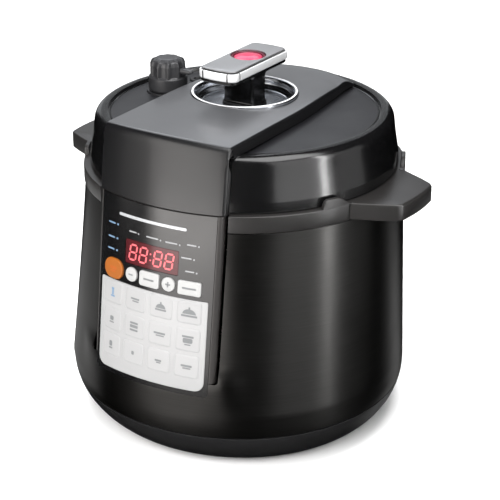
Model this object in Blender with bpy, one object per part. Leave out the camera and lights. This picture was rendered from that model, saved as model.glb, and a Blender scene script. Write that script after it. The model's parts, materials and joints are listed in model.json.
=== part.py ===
"""An electric pressure cooker with a twist-off lid, in metres, +Z up.

The origin is on the floor, on the axis of the round body, with the control panel at -Y. The body swells
forwards and downwards, and the leaning control panel is a strip of a cylinder set into that swelling.
"""

import math

import bmesh
import bpy
from mathutils import Vector

# Driving dimensions of the whole appliance.
GAP = 0.0003
TOTAL_HEIGHT = 0.330
FLOOR_CLEARANCE = 0.003
BASE_TOP = 0.038
SHELL_TOP = 0.222
COLLAR_TOP = 0.237
LID_BOTTOM = 0.2375
BODY_RADIUS_TOP = 0.142
BODY_RADIUS_WIDEST = 0.1473
WIDEST_HEIGHT = 0.048
BASE_RADIUS = 0.122
SWELL = 0.0135
SWELL_HEIGHT = 0.060
SWELL_AT_FLOOR = 0.005
SWELL_FULL_ANGLE = math.radians(30)
SWELL_END_ANGLE = math.radians(118)
SKIN = 0.0014
SEGMENTS = 48
INNER_SEGMENTS = 40
SMALL_SEGMENTS = 20

# Side handles, moulded on the collar.
COLLAR_RADIUS = 0.143
COLLAR_BORE = 0.1185
HANDLE_REACH = 0.1750
HANDLE_CORNER = (0.1725, 0.029)
HANDLE_ROOT = (0.134, 0.047)
PAD_TOP = 0.245
PAD_ANGLES = (math.radians(59), math.radians(60), math.radians(67), math.radians(72))
PAD_INNER = 0.1392

# Control panel: a strip of a leaning cylinder, measured along its arc (s), up its face (v), outwards (h).
PANEL_CURVE = 0.170
PANEL_LEAN = math.atan(0.119)
PANEL_TOP = Vector((0.0, -0.1419, COLLAR_TOP))
PANEL_HALF = 0.065
FACE_HALF = 0.060
PANEL_FOOT = -0.160
PLATE = 0.0012
BUTTON_ROW = -0.0635
BUTTON_PROUD = 0.0016
BUTTON_BACK = -0.009

# Cooking vessel and heating.
POT_RADIUS = 0.111
POT_WALL = 0.0012
POT_FLOOR = 0.0573
POT_RIM = 0.248
POT_LIP = 0.116
LINER_RADIUS = 0.1146
LINER_FLOOR = 0.046
LINER_TOP = 0.2448
LUG_RADIUS = 0.1218
LUG_GAP_RADIUS = 0.1165
LUG_COUNT = 6
HEATER_RADIUS = 0.095
HEATER_HOLE = 0.022

# Lid.
LID_SKIRT_RADIUS = 0.137
LID_RIM_TOP = 0.284
DISC_RADIUS = 0.119
DISC_TOP = 0.281
METAL_LID_RADIUS = 0.127
METAL_LID_TOP = 0.2561
METAL_LID_UNDER = 0.2546
TOOTH_RADIUS = 0.1225
BRIDGE_HALF = 0.0628
BRIDGE_FLOOR = 0.2846
BRIDGE_SKIN = 0.003
BRIDGE_CROWN_Y = 0.010
BRIDGE_CROWN = 0.2985
BRIDGE_ARCH = 0.0042
BRIDGE_TAPER = 0.17
DISH_RADIUS = 0.0474
DISH_TOP = 0.29865
DISH_FLOOR = 0.288
BOLT_RADIUS = 0.003
BOLT_HOLE = 0.0034

# Lid handle.
BAR_HALF_WIDTH = 0.0195
BAR_FRONT = -0.048
BAR_REAR = 0.046
BAR_UNDER = 0.3165
BAR_RIM = 0.3292
BUTTON_CENTRE = (0.0, 0.006)

# Steam release valve and float valve, both on the lid's left side.
VALVE_CENTRE = (-0.086, 0.006)
FLOAT_CENTRE = (-0.080, 0.046)

# Rear fittings.
INLET_HEIGHT = 0.066
CUP_HALF = 0.031
CUP_BOTTOM = 0.140
CUP_TOP = 0.200
CUP_BACK = 0.1466


def clear_scene():
    for obj in list(bpy.data.objects):
        bpy.data.objects.remove(obj, do_unlink=True)


def make_material(name, colour, roughness, metallic=0.0):
    material = bpy.data.materials.new(name)
    material.use_nodes = True
    shader = material.node_tree.nodes["Principled BSDF"]
    shader.inputs["Base Color"].default_value = (*colour, 1.0)
    shader.inputs["Roughness"].default_value = roughness
    shader.inputs["Metallic"].default_value = metallic
    return material


def make_object(name, points, faces, material):
    """A closed object from points and faces: double points are joined and the faces turned outwards."""
    mesh = bpy.data.meshes.new(name)
    mesh.from_pydata([tuple(point) for point in points], [], faces)
    work = bmesh.new()
    work.from_mesh(mesh)
    bmesh.ops.remove_doubles(work, verts=work.verts, dist=1e-6)
    bmesh.ops.recalc_face_normals(work, faces=work.faces)
    work.to_mesh(mesh)
    work.free()
    mesh.shade_smooth()
    mesh.set_sharp_from_angle(angle=math.radians(35))
    mesh.materials.append(material)
    obj = bpy.data.objects.new(name, mesh)
    bpy.context.scene.collection.objects.link(obj)
    return obj


def skin_rings(rings, wrap=False):
    """Side faces between rings of equal length; wrap joins the last ring to the first."""
    faces = []
    count = len(rings[0])
    last = len(rings) if wrap else len(rings) - 1
    for i in range(last):
        a = i * count
        b = ((i + 1) % len(rings)) * count
        for j in range(count):
            k = (j + 1) % count
            faces.append((a + j, a + k, b + k, b + j))
    return faces


def loft(name, rings, material):
    """A solid through rings of points, with a flat cap at each end."""
    points = [point for ring in rings for point in ring]
    faces = skin_rings(rings)
    count = len(rings[0])
    faces.append(tuple(range(count)))
    faces.append(tuple(range(len(points) - count, len(points))))
    return make_object(name, points, faces, material)


def turn(name, profile, material, centre=(0.0, 0.0), segments=SEGMENTS, angles=None):
    """A turned solid. The profile is a closed outline of (radius, height), or a function of the angle from -Y."""
    if angles is None:
        angles = [2 * math.pi * i / segments for i in range(segments)]
    rings = []
    for angle in angles:
        outline = profile(angle) if callable(profile) else profile
        rings.append([
            (centre[0] + radius * math.sin(angle), centre[1] - radius * math.cos(angle), height)
            for radius, height in outline
        ])
    points = [point for ring in rings for point in ring]
    return make_object(name, points, skin_rings(rings, wrap=True), material)


def cylinder(name, radius, low, high, material, centre=(0.0, 0.0), segments=SMALL_SEGMENTS):
    return turn(name, [(0, low), (radius, low), (radius, high), (0, high)], material, centre, segments)


def tube(name, inner, outer, low, high, material, centre=(0.0, 0.0), segments=SMALL_SEGMENTS):
    return turn(name, [(inner, low), (outer, low), (outer, high), (inner, high)], material, centre, segments)


def rounded_outline(half_x, half_y, radius, steps=4, centre=(0.0, 0.0)):
    """A rectangle with round corners, counter-clockwise."""
    outline = []
    for corner, (side_x, side_y) in enumerate(((1, 1), (-1, 1), (-1, -1), (1, -1))):
        for step in range(steps + 1):
            angle = math.pi / 2 * (corner + step / steps)
            outline.append((
                centre[0] + side_x * (half_x - radius) + radius * math.cos(angle),
                centre[1] + side_y * (half_y - radius) + radius * math.sin(angle),
            ))
    return outline


def prism(name, outline, low, high, material):
    rings = [[(x, y, height) for x, y in outline] for height in (low, high)]
    return loft(name, rings, material)


def box(name, low, high, material):
    outline = [(low[0], low[1]), (high[0], low[1]), (high[0], high[1]), (low[0], high[1])]
    return prism(name, outline, low[2], high[2], material)


def hide_helper(obj):
    obj.hide_render = True
    obj.display_type = "WIRE"
    return obj


def combine(obj, other, operation):
    modifier = obj.modifiers.new(f"{operation.lower()} {other.name}", "BOOLEAN")
    modifier.operation = operation
    modifier.solver = "EXACT"
    modifier.object = hide_helper(other)


def cut(obj, *cutters):
    for cutter in cutters:
        combine(obj, cutter, "DIFFERENCE")


def smoothstep(value):
    value = min(max(value, 0.0), 1.0)
    return value * value * (3 - 2 * value)


def body_radius(angle, height):
    """Outer radius of the body at an angle from -Y: a round body with a swelling towards the front."""
    if height >= WIDEST_HEIGHT:
        slope = (BODY_RADIUS_WIDEST - BODY_RADIUS_TOP) / (SHELL_TOP - WIDEST_HEIGHT)
        radius = BODY_RADIUS_WIDEST - slope * (height - WIDEST_HEIGHT)
    else:
        depth = (WIDEST_HEIGHT - height) / (WIDEST_HEIGHT - FLOOR_CLEARANCE)
        radius = BASE_RADIUS + (BODY_RADIUS_WIDEST - BASE_RADIUS) * max(1 - depth * depth, 0.0) ** 0.75
    if height >= SWELL_HEIGHT:
        share = max(SHELL_TOP - height, 0.0) / (SHELL_TOP - SWELL_HEIGHT)
        swell = SWELL * share ** 1.15
    else:
        share = (height - FLOOR_CLEARANCE) / (SWELL_HEIGHT - FLOOR_CLEARANCE)
        swell = SWELL_AT_FLOOR + (SWELL - SWELL_AT_FLOOR) * share
    turned = abs((angle + math.pi) % (2 * math.pi) - math.pi)
    fade = smoothstep((turned - SWELL_FULL_ANGLE) / (SWELL_END_ANGLE - SWELL_FULL_ANGLE))
    return radius + swell * (1 - fade)


def panel_point(s, v, h):
    """World position of a point on the control panel's leaning cylinder."""
    out = (PANEL_CURVE + h) * math.cos(s / PANEL_CURVE) - PANEL_CURVE
    return Vector((
        (PANEL_CURVE + h) * math.sin(s / PANEL_CURVE),
        PANEL_TOP.y + v * math.sin(PANEL_LEAN) - out * math.cos(PANEL_LEAN),
        PANEL_TOP.z + v * math.cos(PANEL_LEAN) + out * math.sin(PANEL_LEAN),
    ))


def level_top(s, h, drop):
    """The v at which a point of the panel reaches the level of the panel's top, less a drop."""
    out = (PANEL_CURVE + h) * math.cos(s / PANEL_CURVE) - PANEL_CURVE
    return -(drop + out * math.sin(PANEL_LEAN)) / math.cos(PANEL_LEAN)


def panel_plate(name, columns, back, material):
    """A plate wrapped on the panel. Each column is (s, outer h, lower v, upper v or None for level)."""
    rings = []
    for s, front, low, high in columns:
        tops = [level_top(s, h, GAP) if high is None else high for h in (back, front)]
        rings.append([
            panel_point(s, low, back),
            panel_point(s, low, front),
            panel_point(s, tops[1], front),
            panel_point(s, tops[0], back),
        ])
    return loft(name, rings, material)


def plate_columns(half, front, low, high, corner=0.0, centre=0.0, strips=8):
    """Columns of a plate with round lower corners."""
    places = [half - corner * (1 - math.sin(math.pi / 2 * i / 4)) for i in range(5)] if corner else [half]
    inner = half - corner
    flat = [-inner + 2 * inner * i / strips for i in range(strips + 1)]
    edges = sorted({round(place, 6) for place in places if place > inner + 1e-6})
    columns = []
    for s in [-place for place in reversed(edges)] + flat + edges:
        reach = max(abs(s) - inner, 0.0)
        lift = corner - math.sqrt(max(corner * corner - reach * reach, 0.0))
        columns.append((centre + s, front, low + lift, high))
    return columns


def panel_prism(name, outline, s, v, back, front, material):
    """A straight prism standing on the panel at (s, v), square to its face there."""
    across = Vector((math.cos(s / PANEL_CURVE), 0, 0))
    turned = math.sin(s / PANEL_CURVE)
    outwards = Vector((0, -math.cos(PANEL_LEAN), math.sin(PANEL_LEAN)))
    across = across - outwards * turned
    normal = outwards * math.cos(s / PANEL_CURVE) + Vector((turned, 0, 0))
    up = Vector((0, math.sin(PANEL_LEAN), math.cos(PANEL_LEAN)))
    centre = panel_point(s, v, 0.0)
    rings = [[centre + across * x + up * y + normal * h for x, y in outline] for h in (back, front)]
    return loft(name, rings, material)


MATERIALS = {
    "dark_steel": make_material("dark_steel", (0.045, 0.045, 0.048), 0.28, 0.85),
    "gloss_black": make_material("gloss_black", (0.012, 0.012, 0.014), 0.08),
    "satin_black": make_material("satin_black", (0.020, 0.020, 0.022), 0.38),
    "matte_black": make_material("matte_black", (0.018, 0.018, 0.018), 0.65),
    "chrome": make_material("chrome", (0.85, 0.86, 0.88), 0.06, 1.0),
    "silver_paint": make_material("silver_paint", (0.60, 0.61, 0.63), 0.30, 0.7),
    "steel": make_material("steel", (0.62, 0.62, 0.61), 0.25, 1.0),
    "cast_aluminium": make_material("cast_aluminium", (0.55, 0.55, 0.56), 0.45, 1.0),
    "brass": make_material("brass", (0.70, 0.52, 0.22), 0.30, 1.0),
    "silicone": make_material("silicone", (0.70, 0.70, 0.68), 0.55),
    "rubber": make_material("rubber", (0.03, 0.03, 0.03), 0.85),
    "red": make_material("red", (0.55, 0.01, 0.05), 0.18),
    "orange": make_material("orange", (0.95, 0.32, 0.02), 0.35),
    "white": make_material("white", (0.85, 0.85, 0.84), 0.40),
    "display_red": make_material("display_red", (0.12, 0.004, 0.008), 0.12),
    "circuit": make_material("circuit", (0.03, 0.16, 0.07), 0.50),
    "clear_grey": make_material("clear_grey", (0.30, 0.31, 0.33), 0.15),
}


# ---------------------------------------------------------------- body


def make_feet():
    """Four rubber feet near the edge of the base."""
    for index in range(4):
        angle = math.radians(45 + 90 * index)
        centre = (0.098 * math.sin(angle), -0.098 * math.cos(angle))
        low = FLOOR_CLEARANCE - GAP
        profile = [(0, 0), (0.010, 0), (0.012, 0.0015), (0.012, low), (0, low)]
        turn(f"rubber_foot_{index + 1}", profile, MATERIALS["rubber"], centre, 16)


def make_base_screws():
    """Three screws up through the floor of the base, their heads sunk in the underside."""
    holes = []
    for index in range(3):
        angle = math.radians(120 * index + 60)
        centre = (0.070 * math.sin(angle), -0.070 * math.cos(angle))
        head = 0.0045
        low = FLOOR_CLEARANCE
        profile = [(0, low), (head, low), (head, low + 0.0012), (0.0018, low + 0.0012), (0.0018, 0.012), (0, 0.012)]
        turn(f"base_screw_{index + 1}", profile, MATERIALS["steel"], centre, 12)
        hole = [(0, low - 0.002), (head + GAP, low - 0.002), (head + GAP, low + 0.0012 + GAP)]
        hole += [(0.0018 + GAP, low + 0.0012 + GAP), (0.0018 + GAP, 0.013), (0, 0.013)]
        holes.append(turn(f"cut_base_screw_{index + 1}", hole, MATERIALS["steel"], centre, 12))
    return holes


def make_base_cover(screw_holes):
    """The moulded pan that closes the body from below."""
    levels = [BASE_TOP - GAP, 0.030, 0.022, 0.015, 0.009, 0.0055, FLOOR_CLEARANCE]
    floor = FLOOR_CLEARANCE + 0.0025

    def profile(angle):
        outer = [(body_radius(angle, level), level) for level in levels]
        inner = [(body_radius(angle, level) - 0.0028, max(level, floor)) for level in levels[:-2]]
        return outer + [(0, FLOOR_CLEARANCE), (0, floor), (inner[-1][0] - 0.006, floor)] + inner[::-1]

    cover = turn("base_cover", profile, MATERIALS["satin_black"])
    cut(cover, *screw_holes)


def make_body_shell(front_cutter, inlet_cutter):
    """The wrapped metal skin of the body."""
    levels = [SHELL_TOP, 0.190, 0.155, 0.120, 0.090, 0.072, SWELL_HEIGHT, WIDEST_HEIGHT, BASE_TOP]

    def profile(angle):
        outer = [(body_radius(angle, level), level) for level in levels]
        return outer + [(radius - SKIN, level) for radius, level in reversed(outer)]

    shell = turn("body_shell", profile, MATERIALS["dark_steel"])
    cut(shell, front_cutter, inlet_cutter)


def handle_radius(angle):
    """Plan outline of the collar with its two handles, as a radius at an angle from -Y."""
    side_x = abs(math.sin(angle))
    side_y = abs(math.cos(angle))
    root_angle = math.atan2(HANDLE_ROOT[0], HANDLE_ROOT[1])
    corner_angle = math.atan2(HANDLE_CORNER[0], HANDLE_CORNER[1])
    turned = math.atan2(side_x, side_y)
    if turned <= root_angle:
        return COLLAR_RADIUS
    if turned <= corner_angle:
        run_x = HANDLE_CORNER[0] - HANDLE_ROOT[0]
        run_y = HANDLE_CORNER[1] - HANDLE_ROOT[1]
        along = (HANDLE_ROOT[0] * run_y - HANDLE_ROOT[1] * run_x) / (side_x * run_y - side_y * run_x)
        return max(along, COLLAR_RADIUS)
    share = (turned - corner_angle) / (math.pi / 2 - corner_angle)
    bow = math.sin(math.pi / 2 * share)
    outer_x = HANDLE_CORNER[0] + (HANDLE_REACH - HANDLE_CORNER[0]) * bow
    return outer_x / side_x


def make_collar(front_cutter):
    """The top ring of the body with both side handles and four raised pads beside them."""
    wall = 0.003
    block = COLLAR_RADIUS - 0.0035
    low = SHELL_TOP + GAP

    def profile(angle):
        turned = math.atan2(abs(math.sin(angle)), abs(math.cos(angle)))
        edge = handle_radius(angle)
        start, full, fade, end = PAD_ANGLES
        rise = min(max((turned - start) / (full - start), 0.0), 1.0)
        fall = min(max((end - turned) / (end - fade), 0.0), 1.0)
        pad = COLLAR_TOP + (PAD_TOP - COLLAR_TOP) * min(rise, fall)
        return [
            (COLLAR_BORE, low),
            (COLLAR_BORE, COLLAR_TOP),
            (PAD_INNER, COLLAR_TOP),
            (PAD_INNER, pad),
            (COLLAR_RADIUS, pad),
            (COLLAR_RADIUS, COLLAR_TOP),
            (edge, COLLAR_TOP - 0.001 * (edge > COLLAR_RADIUS)),
            (edge, low),
            (block, low),
            (block, COLLAR_TOP - wall),
            (COLLAR_BORE + wall, COLLAR_TOP - wall),
            (COLLAR_BORE + wall, low),
        ]

    corner = math.atan2(HANDLE_CORNER[0], HANDLE_CORNER[1])
    root = math.atan2(HANDLE_ROOT[0], HANDLE_ROOT[1])
    quarter = [math.radians(7.5 * i) for i in range(8)]
    quarter += list(PAD_ANGLES) + [root, corner] + [corner + (math.pi / 2 - corner) * i / 3 for i in (1, 2, 3)]
    quarter.append((PAD_ANGLES[3] + corner) / 2)
    angles = set()
    for angle in quarter:
        for place in (angle, math.pi - angle, math.pi + angle, 2 * math.pi - angle):
            angles.add(round(place % (2 * math.pi), 5))
    collar = turn("collar_with_side_handles", profile, MATERIALS["satin_black"], angles=sorted(angles))
    cut(collar, front_cutter)


# ---------------------------------------------------------------- control panel


def button_shapes():
    """Name, outline, place along the arc and material of each push button."""
    def circle(radius):
        return [(radius * math.cos(math.tau * i / 20), radius * math.sin(math.tau * i / 20)) for i in range(20)]

    return [
        ("start_button", rounded_outline(0.0120, 0.0094, 0.0088), -0.0398, "orange"),
        ("minus_button", circle(0.0062), -0.0187, "white"),
        ("mode_button", rounded_outline(0.0100, 0.0066, 0.0025), 0.0003, "white"),
        ("plus_button", circle(0.0062), 0.0190, "white"),
        ("cancel_button", rounded_outline(0.0104, 0.0062, 0.0018), 0.0383, "white"),
    ]


def grown(outline, amount):
    """An outline moved outwards from its centre by about an amount."""
    return [
        (x + amount * (x / (math.hypot(x, y) or 1)) * 1.3, y + amount * (y / (math.hypot(x, y) or 1)) * 1.3)
        for x, y in outline
    ]


def make_control_panel():
    """Housing, glossy face, display, keypad and buttons, all on the leaning cylinder."""
    window = {"half": 0.0270, "low": -0.0546, "high": -0.0334}
    keypad = {"half": 0.0553, "low": -0.1540, "high": -0.0735, "corner": 0.008}
    overlay_back = -PLATE
    housing_back = -0.009
    material = MATERIALS["gloss_black"]

    housing_columns = []
    for s, front in ((PANEL_HALF, -0.0055), (FACE_HALF + 0.0002, -0.0006), (FACE_HALF, overlay_back - GAP)):
        housing_columns.append((s, front, PANEL_FOOT, None))
    inner = [(FACE_HALF * i / 4, overlay_back - GAP, PANEL_FOOT, None) for i in (3, 2, 1, 0)]
    right = housing_columns + inner
    left = [(-s, front, low, high) for s, front, low, high in right[:-1]]
    housing = panel_plate("control_housing", left + right[::-1], housing_back, material)

    face_columns = plate_columns(FACE_HALF - 0.0004, 0.0, PANEL_FOOT + 0.0015, None)
    face = panel_plate("panel_face", face_columns, overlay_back, material)

    pane = plate_columns(window["half"], -0.0001, window["low"], window["high"], strips=4)
    panel_plate("display_window", pane, overlay_back, MATERIALS["display_red"])
    hole = plate_columns(window["half"] + GAP, 0.002, window["low"] - GAP, window["high"] + GAP, strips=4)
    cut(face, panel_plate("cut_face_window", hole, -0.004, material))
    hole = plate_columns(window["half"] + 0.001, 0.002, window["low"] - 0.001, window["high"] + 0.001, strips=4)
    cut(housing, panel_plate("cut_housing_window", hole, -0.013, material))

    pad = plate_columns(keypad["half"], 0.0005, keypad["low"], keypad["high"], keypad["corner"])
    panel_plate("keypad", pad, overlay_back, MATERIALS["white"])
    hole = plate_columns(
        keypad["half"] + GAP, 0.002, keypad["low"] - GAP, keypad["high"] + GAP, keypad["corner"] + GAP
    )
    cut(face, panel_plate("cut_face_keypad", hole, -0.004, material))

    for name, outline, s, colour in button_shapes():
        panel_prism(name, outline, s, BUTTON_ROW, BUTTON_BACK, BUTTON_PROUD, MATERIALS[colour])
        cutter = panel_prism(f"cut_{name}", grown(outline, 0.0004), s, BUTTON_ROW, -0.014, 0.004, material)
        cut(face, cutter)
        cut(housing, cutter)

    make_panel_boards()


def make_panel_boards():
    """The display block and the circuit board behind the panel, both flat."""
    def panel_box(name, half, low, high, back, front, material):
        outwards = Vector((0, -math.cos(PANEL_LEAN), math.sin(PANEL_LEAN)))
        up = Vector((0, math.sin(PANEL_LEAN), math.cos(PANEL_LEAN)))
        corners = [(-half, low), (half, low), (half, high), (-half, high)]
        rings = [
            [PANEL_TOP + Vector((x, 0, 0)) + up * v + outwards * depth for x, v in corners]
            for depth in (back, front)
        ]
        loft(name, rings, material)

    panel_box("display_module", 0.0250, -0.0540, -0.0340, -0.0220, -0.0046, MATERIALS["matte_black"])
    panel_box("control_board", 0.0500, -0.1480, -0.0240, -0.0240, -0.0224, MATERIALS["circuit"])


# ---------------------------------------------------------------- cooking vessel and heating


def lug_angles(first, last):
    """Angles at which a ring of lugs steps in and out, and the share of each step."""
    places = []
    pitch = math.tau / LUG_COUNT
    for index in range(LUG_COUNT):
        start = pitch * index
        for share, out in ((first, 0.0), (first + 0.03, 1.0), (0.5, 1.0), (last - 0.03, 1.0), (last, 0.0)):
            places.append((start + pitch * share, out))
        places.append((start + pitch * (1 + first + last) / 2, 0.0))
    return places


def turn_lugs(name, profile, places, material):
    """A turned solid whose profile takes the share of a lug at each angle."""
    shares = {round(angle, 6): out for angle, out in places}
    angles = sorted(shares)
    return turn(name, lambda angle: profile(shares[round(angle, 6)]), material, angles=angles)


def make_liner():
    """The fixed steel well that holds the inner pot, with the bayonet lugs round its mouth."""
    wall = 0.001

    def profile(out):
        edge = LUG_GAP_RADIUS + (LUG_RADIUS - LUG_GAP_RADIUS) * out
        return [
            (0.020, LINER_FLOOR),
            (LINER_RADIUS, LINER_FLOOR),
            (LINER_RADIUS, LINER_TOP - 0.0015),
            (edge, LINER_TOP - 0.0015),
            (edge, LINER_TOP),
            (LINER_RADIUS - wall, LINER_TOP),
            (LINER_RADIUS - wall, LINER_FLOOR + wall),
            (0.020, LINER_FLOOR + wall),
        ]

    turn_lugs("bayonet_liner", profile, lug_angles(0.15, 0.85), MATERIALS["steel"])


def make_inner_pot():
    """The removable cooking pot with its rolled lip."""
    radius = POT_RADIUS
    wall = POT_WALL
    profile = [
        (0, POT_FLOOR),
        (radius - 0.010, POT_FLOOR),
        (radius - 0.002, POT_FLOOR + 0.004),
        (radius, POT_FLOOR + 0.012),
        (radius, POT_RIM - 0.0018),
        (POT_LIP, POT_RIM - 0.0018),
        (POT_LIP, POT_RIM),
        (radius - wall, POT_RIM),
        (radius - wall, POT_FLOOR + 0.012),
        (radius - wall - 0.002, POT_FLOOR + 0.005),
        (radius - wall - 0.009, POT_FLOOR + 0.002),
        (0, POT_FLOOR + 0.002),
    ]
    turn("inner_pot", profile, MATERIALS["steel"])


def make_heater():
    """Cast heating plate, the sprung temperature sensor in its middle and the sensor's cage."""
    low = LINER_FLOOR + 0.001 + GAP
    plate = [(HEATER_HOLE, low), (HEATER_RADIUS, low), (HEATER_RADIUS, 0.054), (HEATER_RADIUS - 0.003, 0.057),
             (HEATER_HOLE, 0.057)]
    turn("heating_plate", plate, MATERIALS["cast_aluminium"], segments=INNER_SEGMENTS)

    sensor = [(0, 0.029), (0.0035, 0.029), (0.0035, 0.052), (0.0175, 0.052), (0.0175, 0.0562), (0.0165, 0.057),
              (0, 0.057)]
    turn("temperature_sensor", sensor, MATERIALS["cast_aluminium"], segments=SMALL_SEGMENTS)

    cage = [(0.0042, 0.032), (0.0140, 0.032), (0.0140, LINER_FLOOR - GAP - 0.001), (0.032, LINER_FLOOR - GAP - 0.001),
            (0.032, LINER_FLOOR - GAP), (0.0128, LINER_FLOOR - GAP), (0.0128, 0.0334), (0.0042, 0.0334)]
    turn("sensor_cage", cage, MATERIALS["steel"], segments=SMALL_SEGMENTS)
    make_spring("sensor_spring", (0.0, 0.0), 0.0072, 0.0337, 0.0517, 4)


def make_spring(name, centre, radius, low, high, turns):
    """A wound wire, its ends closed by flat caps."""
    wire = 0.0006
    steps = turns * 10
    rise = high - low - 2 * wire
    rings = []
    for step in range(steps + 1):
        angle = math.tau * turns * step / steps
        height = low + wire + rise * step / steps
        ring = []
        for side in range(5):
            place = math.tau * side / 5
            out = radius + wire * math.cos(place)
            ring.append((centre[0] + out * math.cos(angle), centre[1] + out * math.sin(angle),
                         height + wire * math.sin(place)))
        rings.append(ring)
    loft(name, rings, MATERIALS["steel"])


def make_inner_electrics():
    """Power board on the base floor, and the thermal fuse and pressure switch under the liner."""
    floor = FLOOR_CLEARANCE + 0.0025 + GAP
    board = box("power_board", (-0.040, 0.040, 0.0140), (0.040, 0.100, 0.0156), MATERIALS["circuit"])
    for index, (x, y, size_x, size_y, top) in enumerate((
        (-0.020, 0.060, 0.012, 0.014, 0.036),
        (0.018, 0.082, 0.008, 0.010, 0.030),
        (0.022, 0.055, 0.006, 0.006, 0.028),
    )):
        block = box(f"add_power_block_{index + 1}", (x - size_x, y - size_y, 0.0150), (x + size_x, y + size_y, top),
                    MATERIALS["matte_black"])
        combine(board, block, "UNION")
    for index, (x, y) in enumerate(((-0.036, 0.044), (0.036, 0.044), (-0.036, 0.096), (0.036, 0.096))):
        post = cylinder(f"add_power_post_{index + 1}", 0.0025, floor, 0.0150, MATERIALS["matte_black"], (x, y), 8)
        combine(board, post, "UNION")
    under = LINER_FLOOR - GAP
    box("thermal_fuse", (0.044, -0.012, 0.0395), (0.068, -0.004, under), MATERIALS["white"])
    box("pressure_switch", (-0.072, -0.008, 0.0300), (-0.048, 0.008, under), MATERIALS["matte_black"])


# ---------------------------------------------------------------- rear fittings


def make_power_inlet():
    """The mains socket in the back of the body, with its three pins."""
    low = INLET_HEIGHT - 0.0118
    high = INLET_HEIGHT + 0.0118
    inlet = box("power_inlet", (-0.0148, 0.124, low), (0.0148, 0.1485, high), MATERIALS["matte_black"])
    flange = box("add_inlet_flange", (-0.019, 0.1478, low - 0.003), (0.019, 0.1502, high + 0.003),
                 MATERIALS["matte_black"])
    combine(inlet, flange, "UNION")
    recess = box("cut_inlet_recess", (-0.0120, 0.132, INLET_HEIGHT - 0.008), (0.0120, 0.152, INLET_HEIGHT + 0.008),
                 MATERIALS["matte_black"])
    cut(inlet, recess)
    for index, x in enumerate((-0.007, 0.0, 0.007)):
        box(f"inlet_pin_{index + 1}", (x - 0.0010, 0.132 + GAP, INLET_HEIGHT - 0.002),
            (x + 0.0010, 0.144, INLET_HEIGHT + 0.002), MATERIALS["brass"])


def make_condensation_cup(reach):
    """The drip cup behind the body, open at the top, between the two rails of its bracket."""
    wall = 0.0018
    cup = box("condensation_cup", (-CUP_HALF, CUP_BACK, CUP_BOTTOM), (CUP_HALF, reach, CUP_TOP),
              MATERIALS["clear_grey"])
    hollow = box("cut_cup_hollow", (-CUP_HALF + wall, CUP_BACK + wall, CUP_BOTTOM + wall),
                 (CUP_HALF - wall, reach - wall, CUP_TOP + 0.01), MATERIALS["clear_grey"])
    cut(cup, hollow)
    back = CUP_BACK - GAP
    rail = CUP_HALF + GAP
    bracket = box("cup_bracket", (-rail - wall, 0.1446, 0.150), (rail + wall, back, 0.190), MATERIALS["satin_black"])
    for index, side in enumerate((-1, 1)):
        inner = side * rail
        outer = side * (rail + wall)
        part = box(f"add_cup_rail_{index + 1}", (min(inner, outer), 0.1450, 0.150), (max(inner, outer), 0.153, 0.190),
                   MATERIALS["satin_black"])
        combine(bracket, part, "UNION")


# ---------------------------------------------------------------- lid


def make_metal_lid(holes):
    """The pressed inner lid: a disc with a skirt, and teeth that turn in under the liner's lugs."""
    wall = 0.0014
    low = 0.2390

    def profile(out):
        tooth = METAL_LID_RADIUS - wall - (METAL_LID_RADIUS - wall - TOOTH_RADIUS) * out
        return [
            (0, METAL_LID_UNDER),
            (METAL_LID_RADIUS - wall, METAL_LID_UNDER),
            (METAL_LID_RADIUS - wall, low + 0.0015),
            (tooth, low + 0.0015),
            (tooth, low),
            (METAL_LID_RADIUS, low),
            (METAL_LID_RADIUS, METAL_LID_TOP),
            (0, METAL_LID_TOP),
        ]

    lid = turn_lugs("metal_lid", profile, lug_angles(0.20, 0.80), MATERIALS["steel"])
    cut(lid, *holes)


def make_seal():
    """The silicone ring that seals on the pot's lip, and the steel ring that carries it."""
    seal = [(0.1045, 0.2483), (0.1185, 0.2483), (0.1195, 0.2495), (0.1195, 0.2543), (0.1045, 0.2543),
            (0.1045, 0.2525), (0.1150, 0.2520), (0.1150, 0.2503), (0.1045, 0.2500)]
    turn("sealing_gasket", seal, MATERIALS["silicone"], segments=INNER_SEGMENTS)
    tube("gasket_ring", 0.1012, 0.1040, 0.2506, 0.2543, MATERIALS["steel"], segments=INNER_SEGMENTS)


def make_lid_shell(holes):
    """The moulded outer lid: skirt, rolled rim and sunken top disc."""
    wall = 0.0025
    profile = [
        (LID_SKIRT_RADIUS, LID_BOTTOM),
        (0.1362, 0.2500),
        (0.1345, 0.2600),
        (0.1325, 0.2700),
        (0.1312, 0.2775),
        (0.1298, 0.2812),
        (0.1275, LID_RIM_TOP - 0.0004),
        (0.1250, LID_RIM_TOP),
        (0.1215, LID_RIM_TOP - 0.0006),
        (0.1196, 0.2822),
        (DISC_RADIUS, DISC_TOP),
        (0.070, DISC_TOP + 0.0010),
        (0, DISC_TOP + 0.0012),
        (0, 0.2785),
        (0.1260, 0.2785),
        (0.1285, 0.2765),
        (0.1320 - wall, 0.2600),
        (LID_SKIRT_RADIUS - wall, LID_BOTTOM),
    ]
    shell = turn("lid_shell", profile, MATERIALS["gloss_black"])
    cut(shell, *holes)


def bridge_height(y):
    """Height of the bridge's top along its centre line: nearly level at the front, falling to the rear."""
    fall = 0.03 if y < BRIDGE_CROWN_Y else 0.55
    return BRIDGE_CROWN - fall * (y - BRIDGE_CROWN_Y) ** 2


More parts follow.
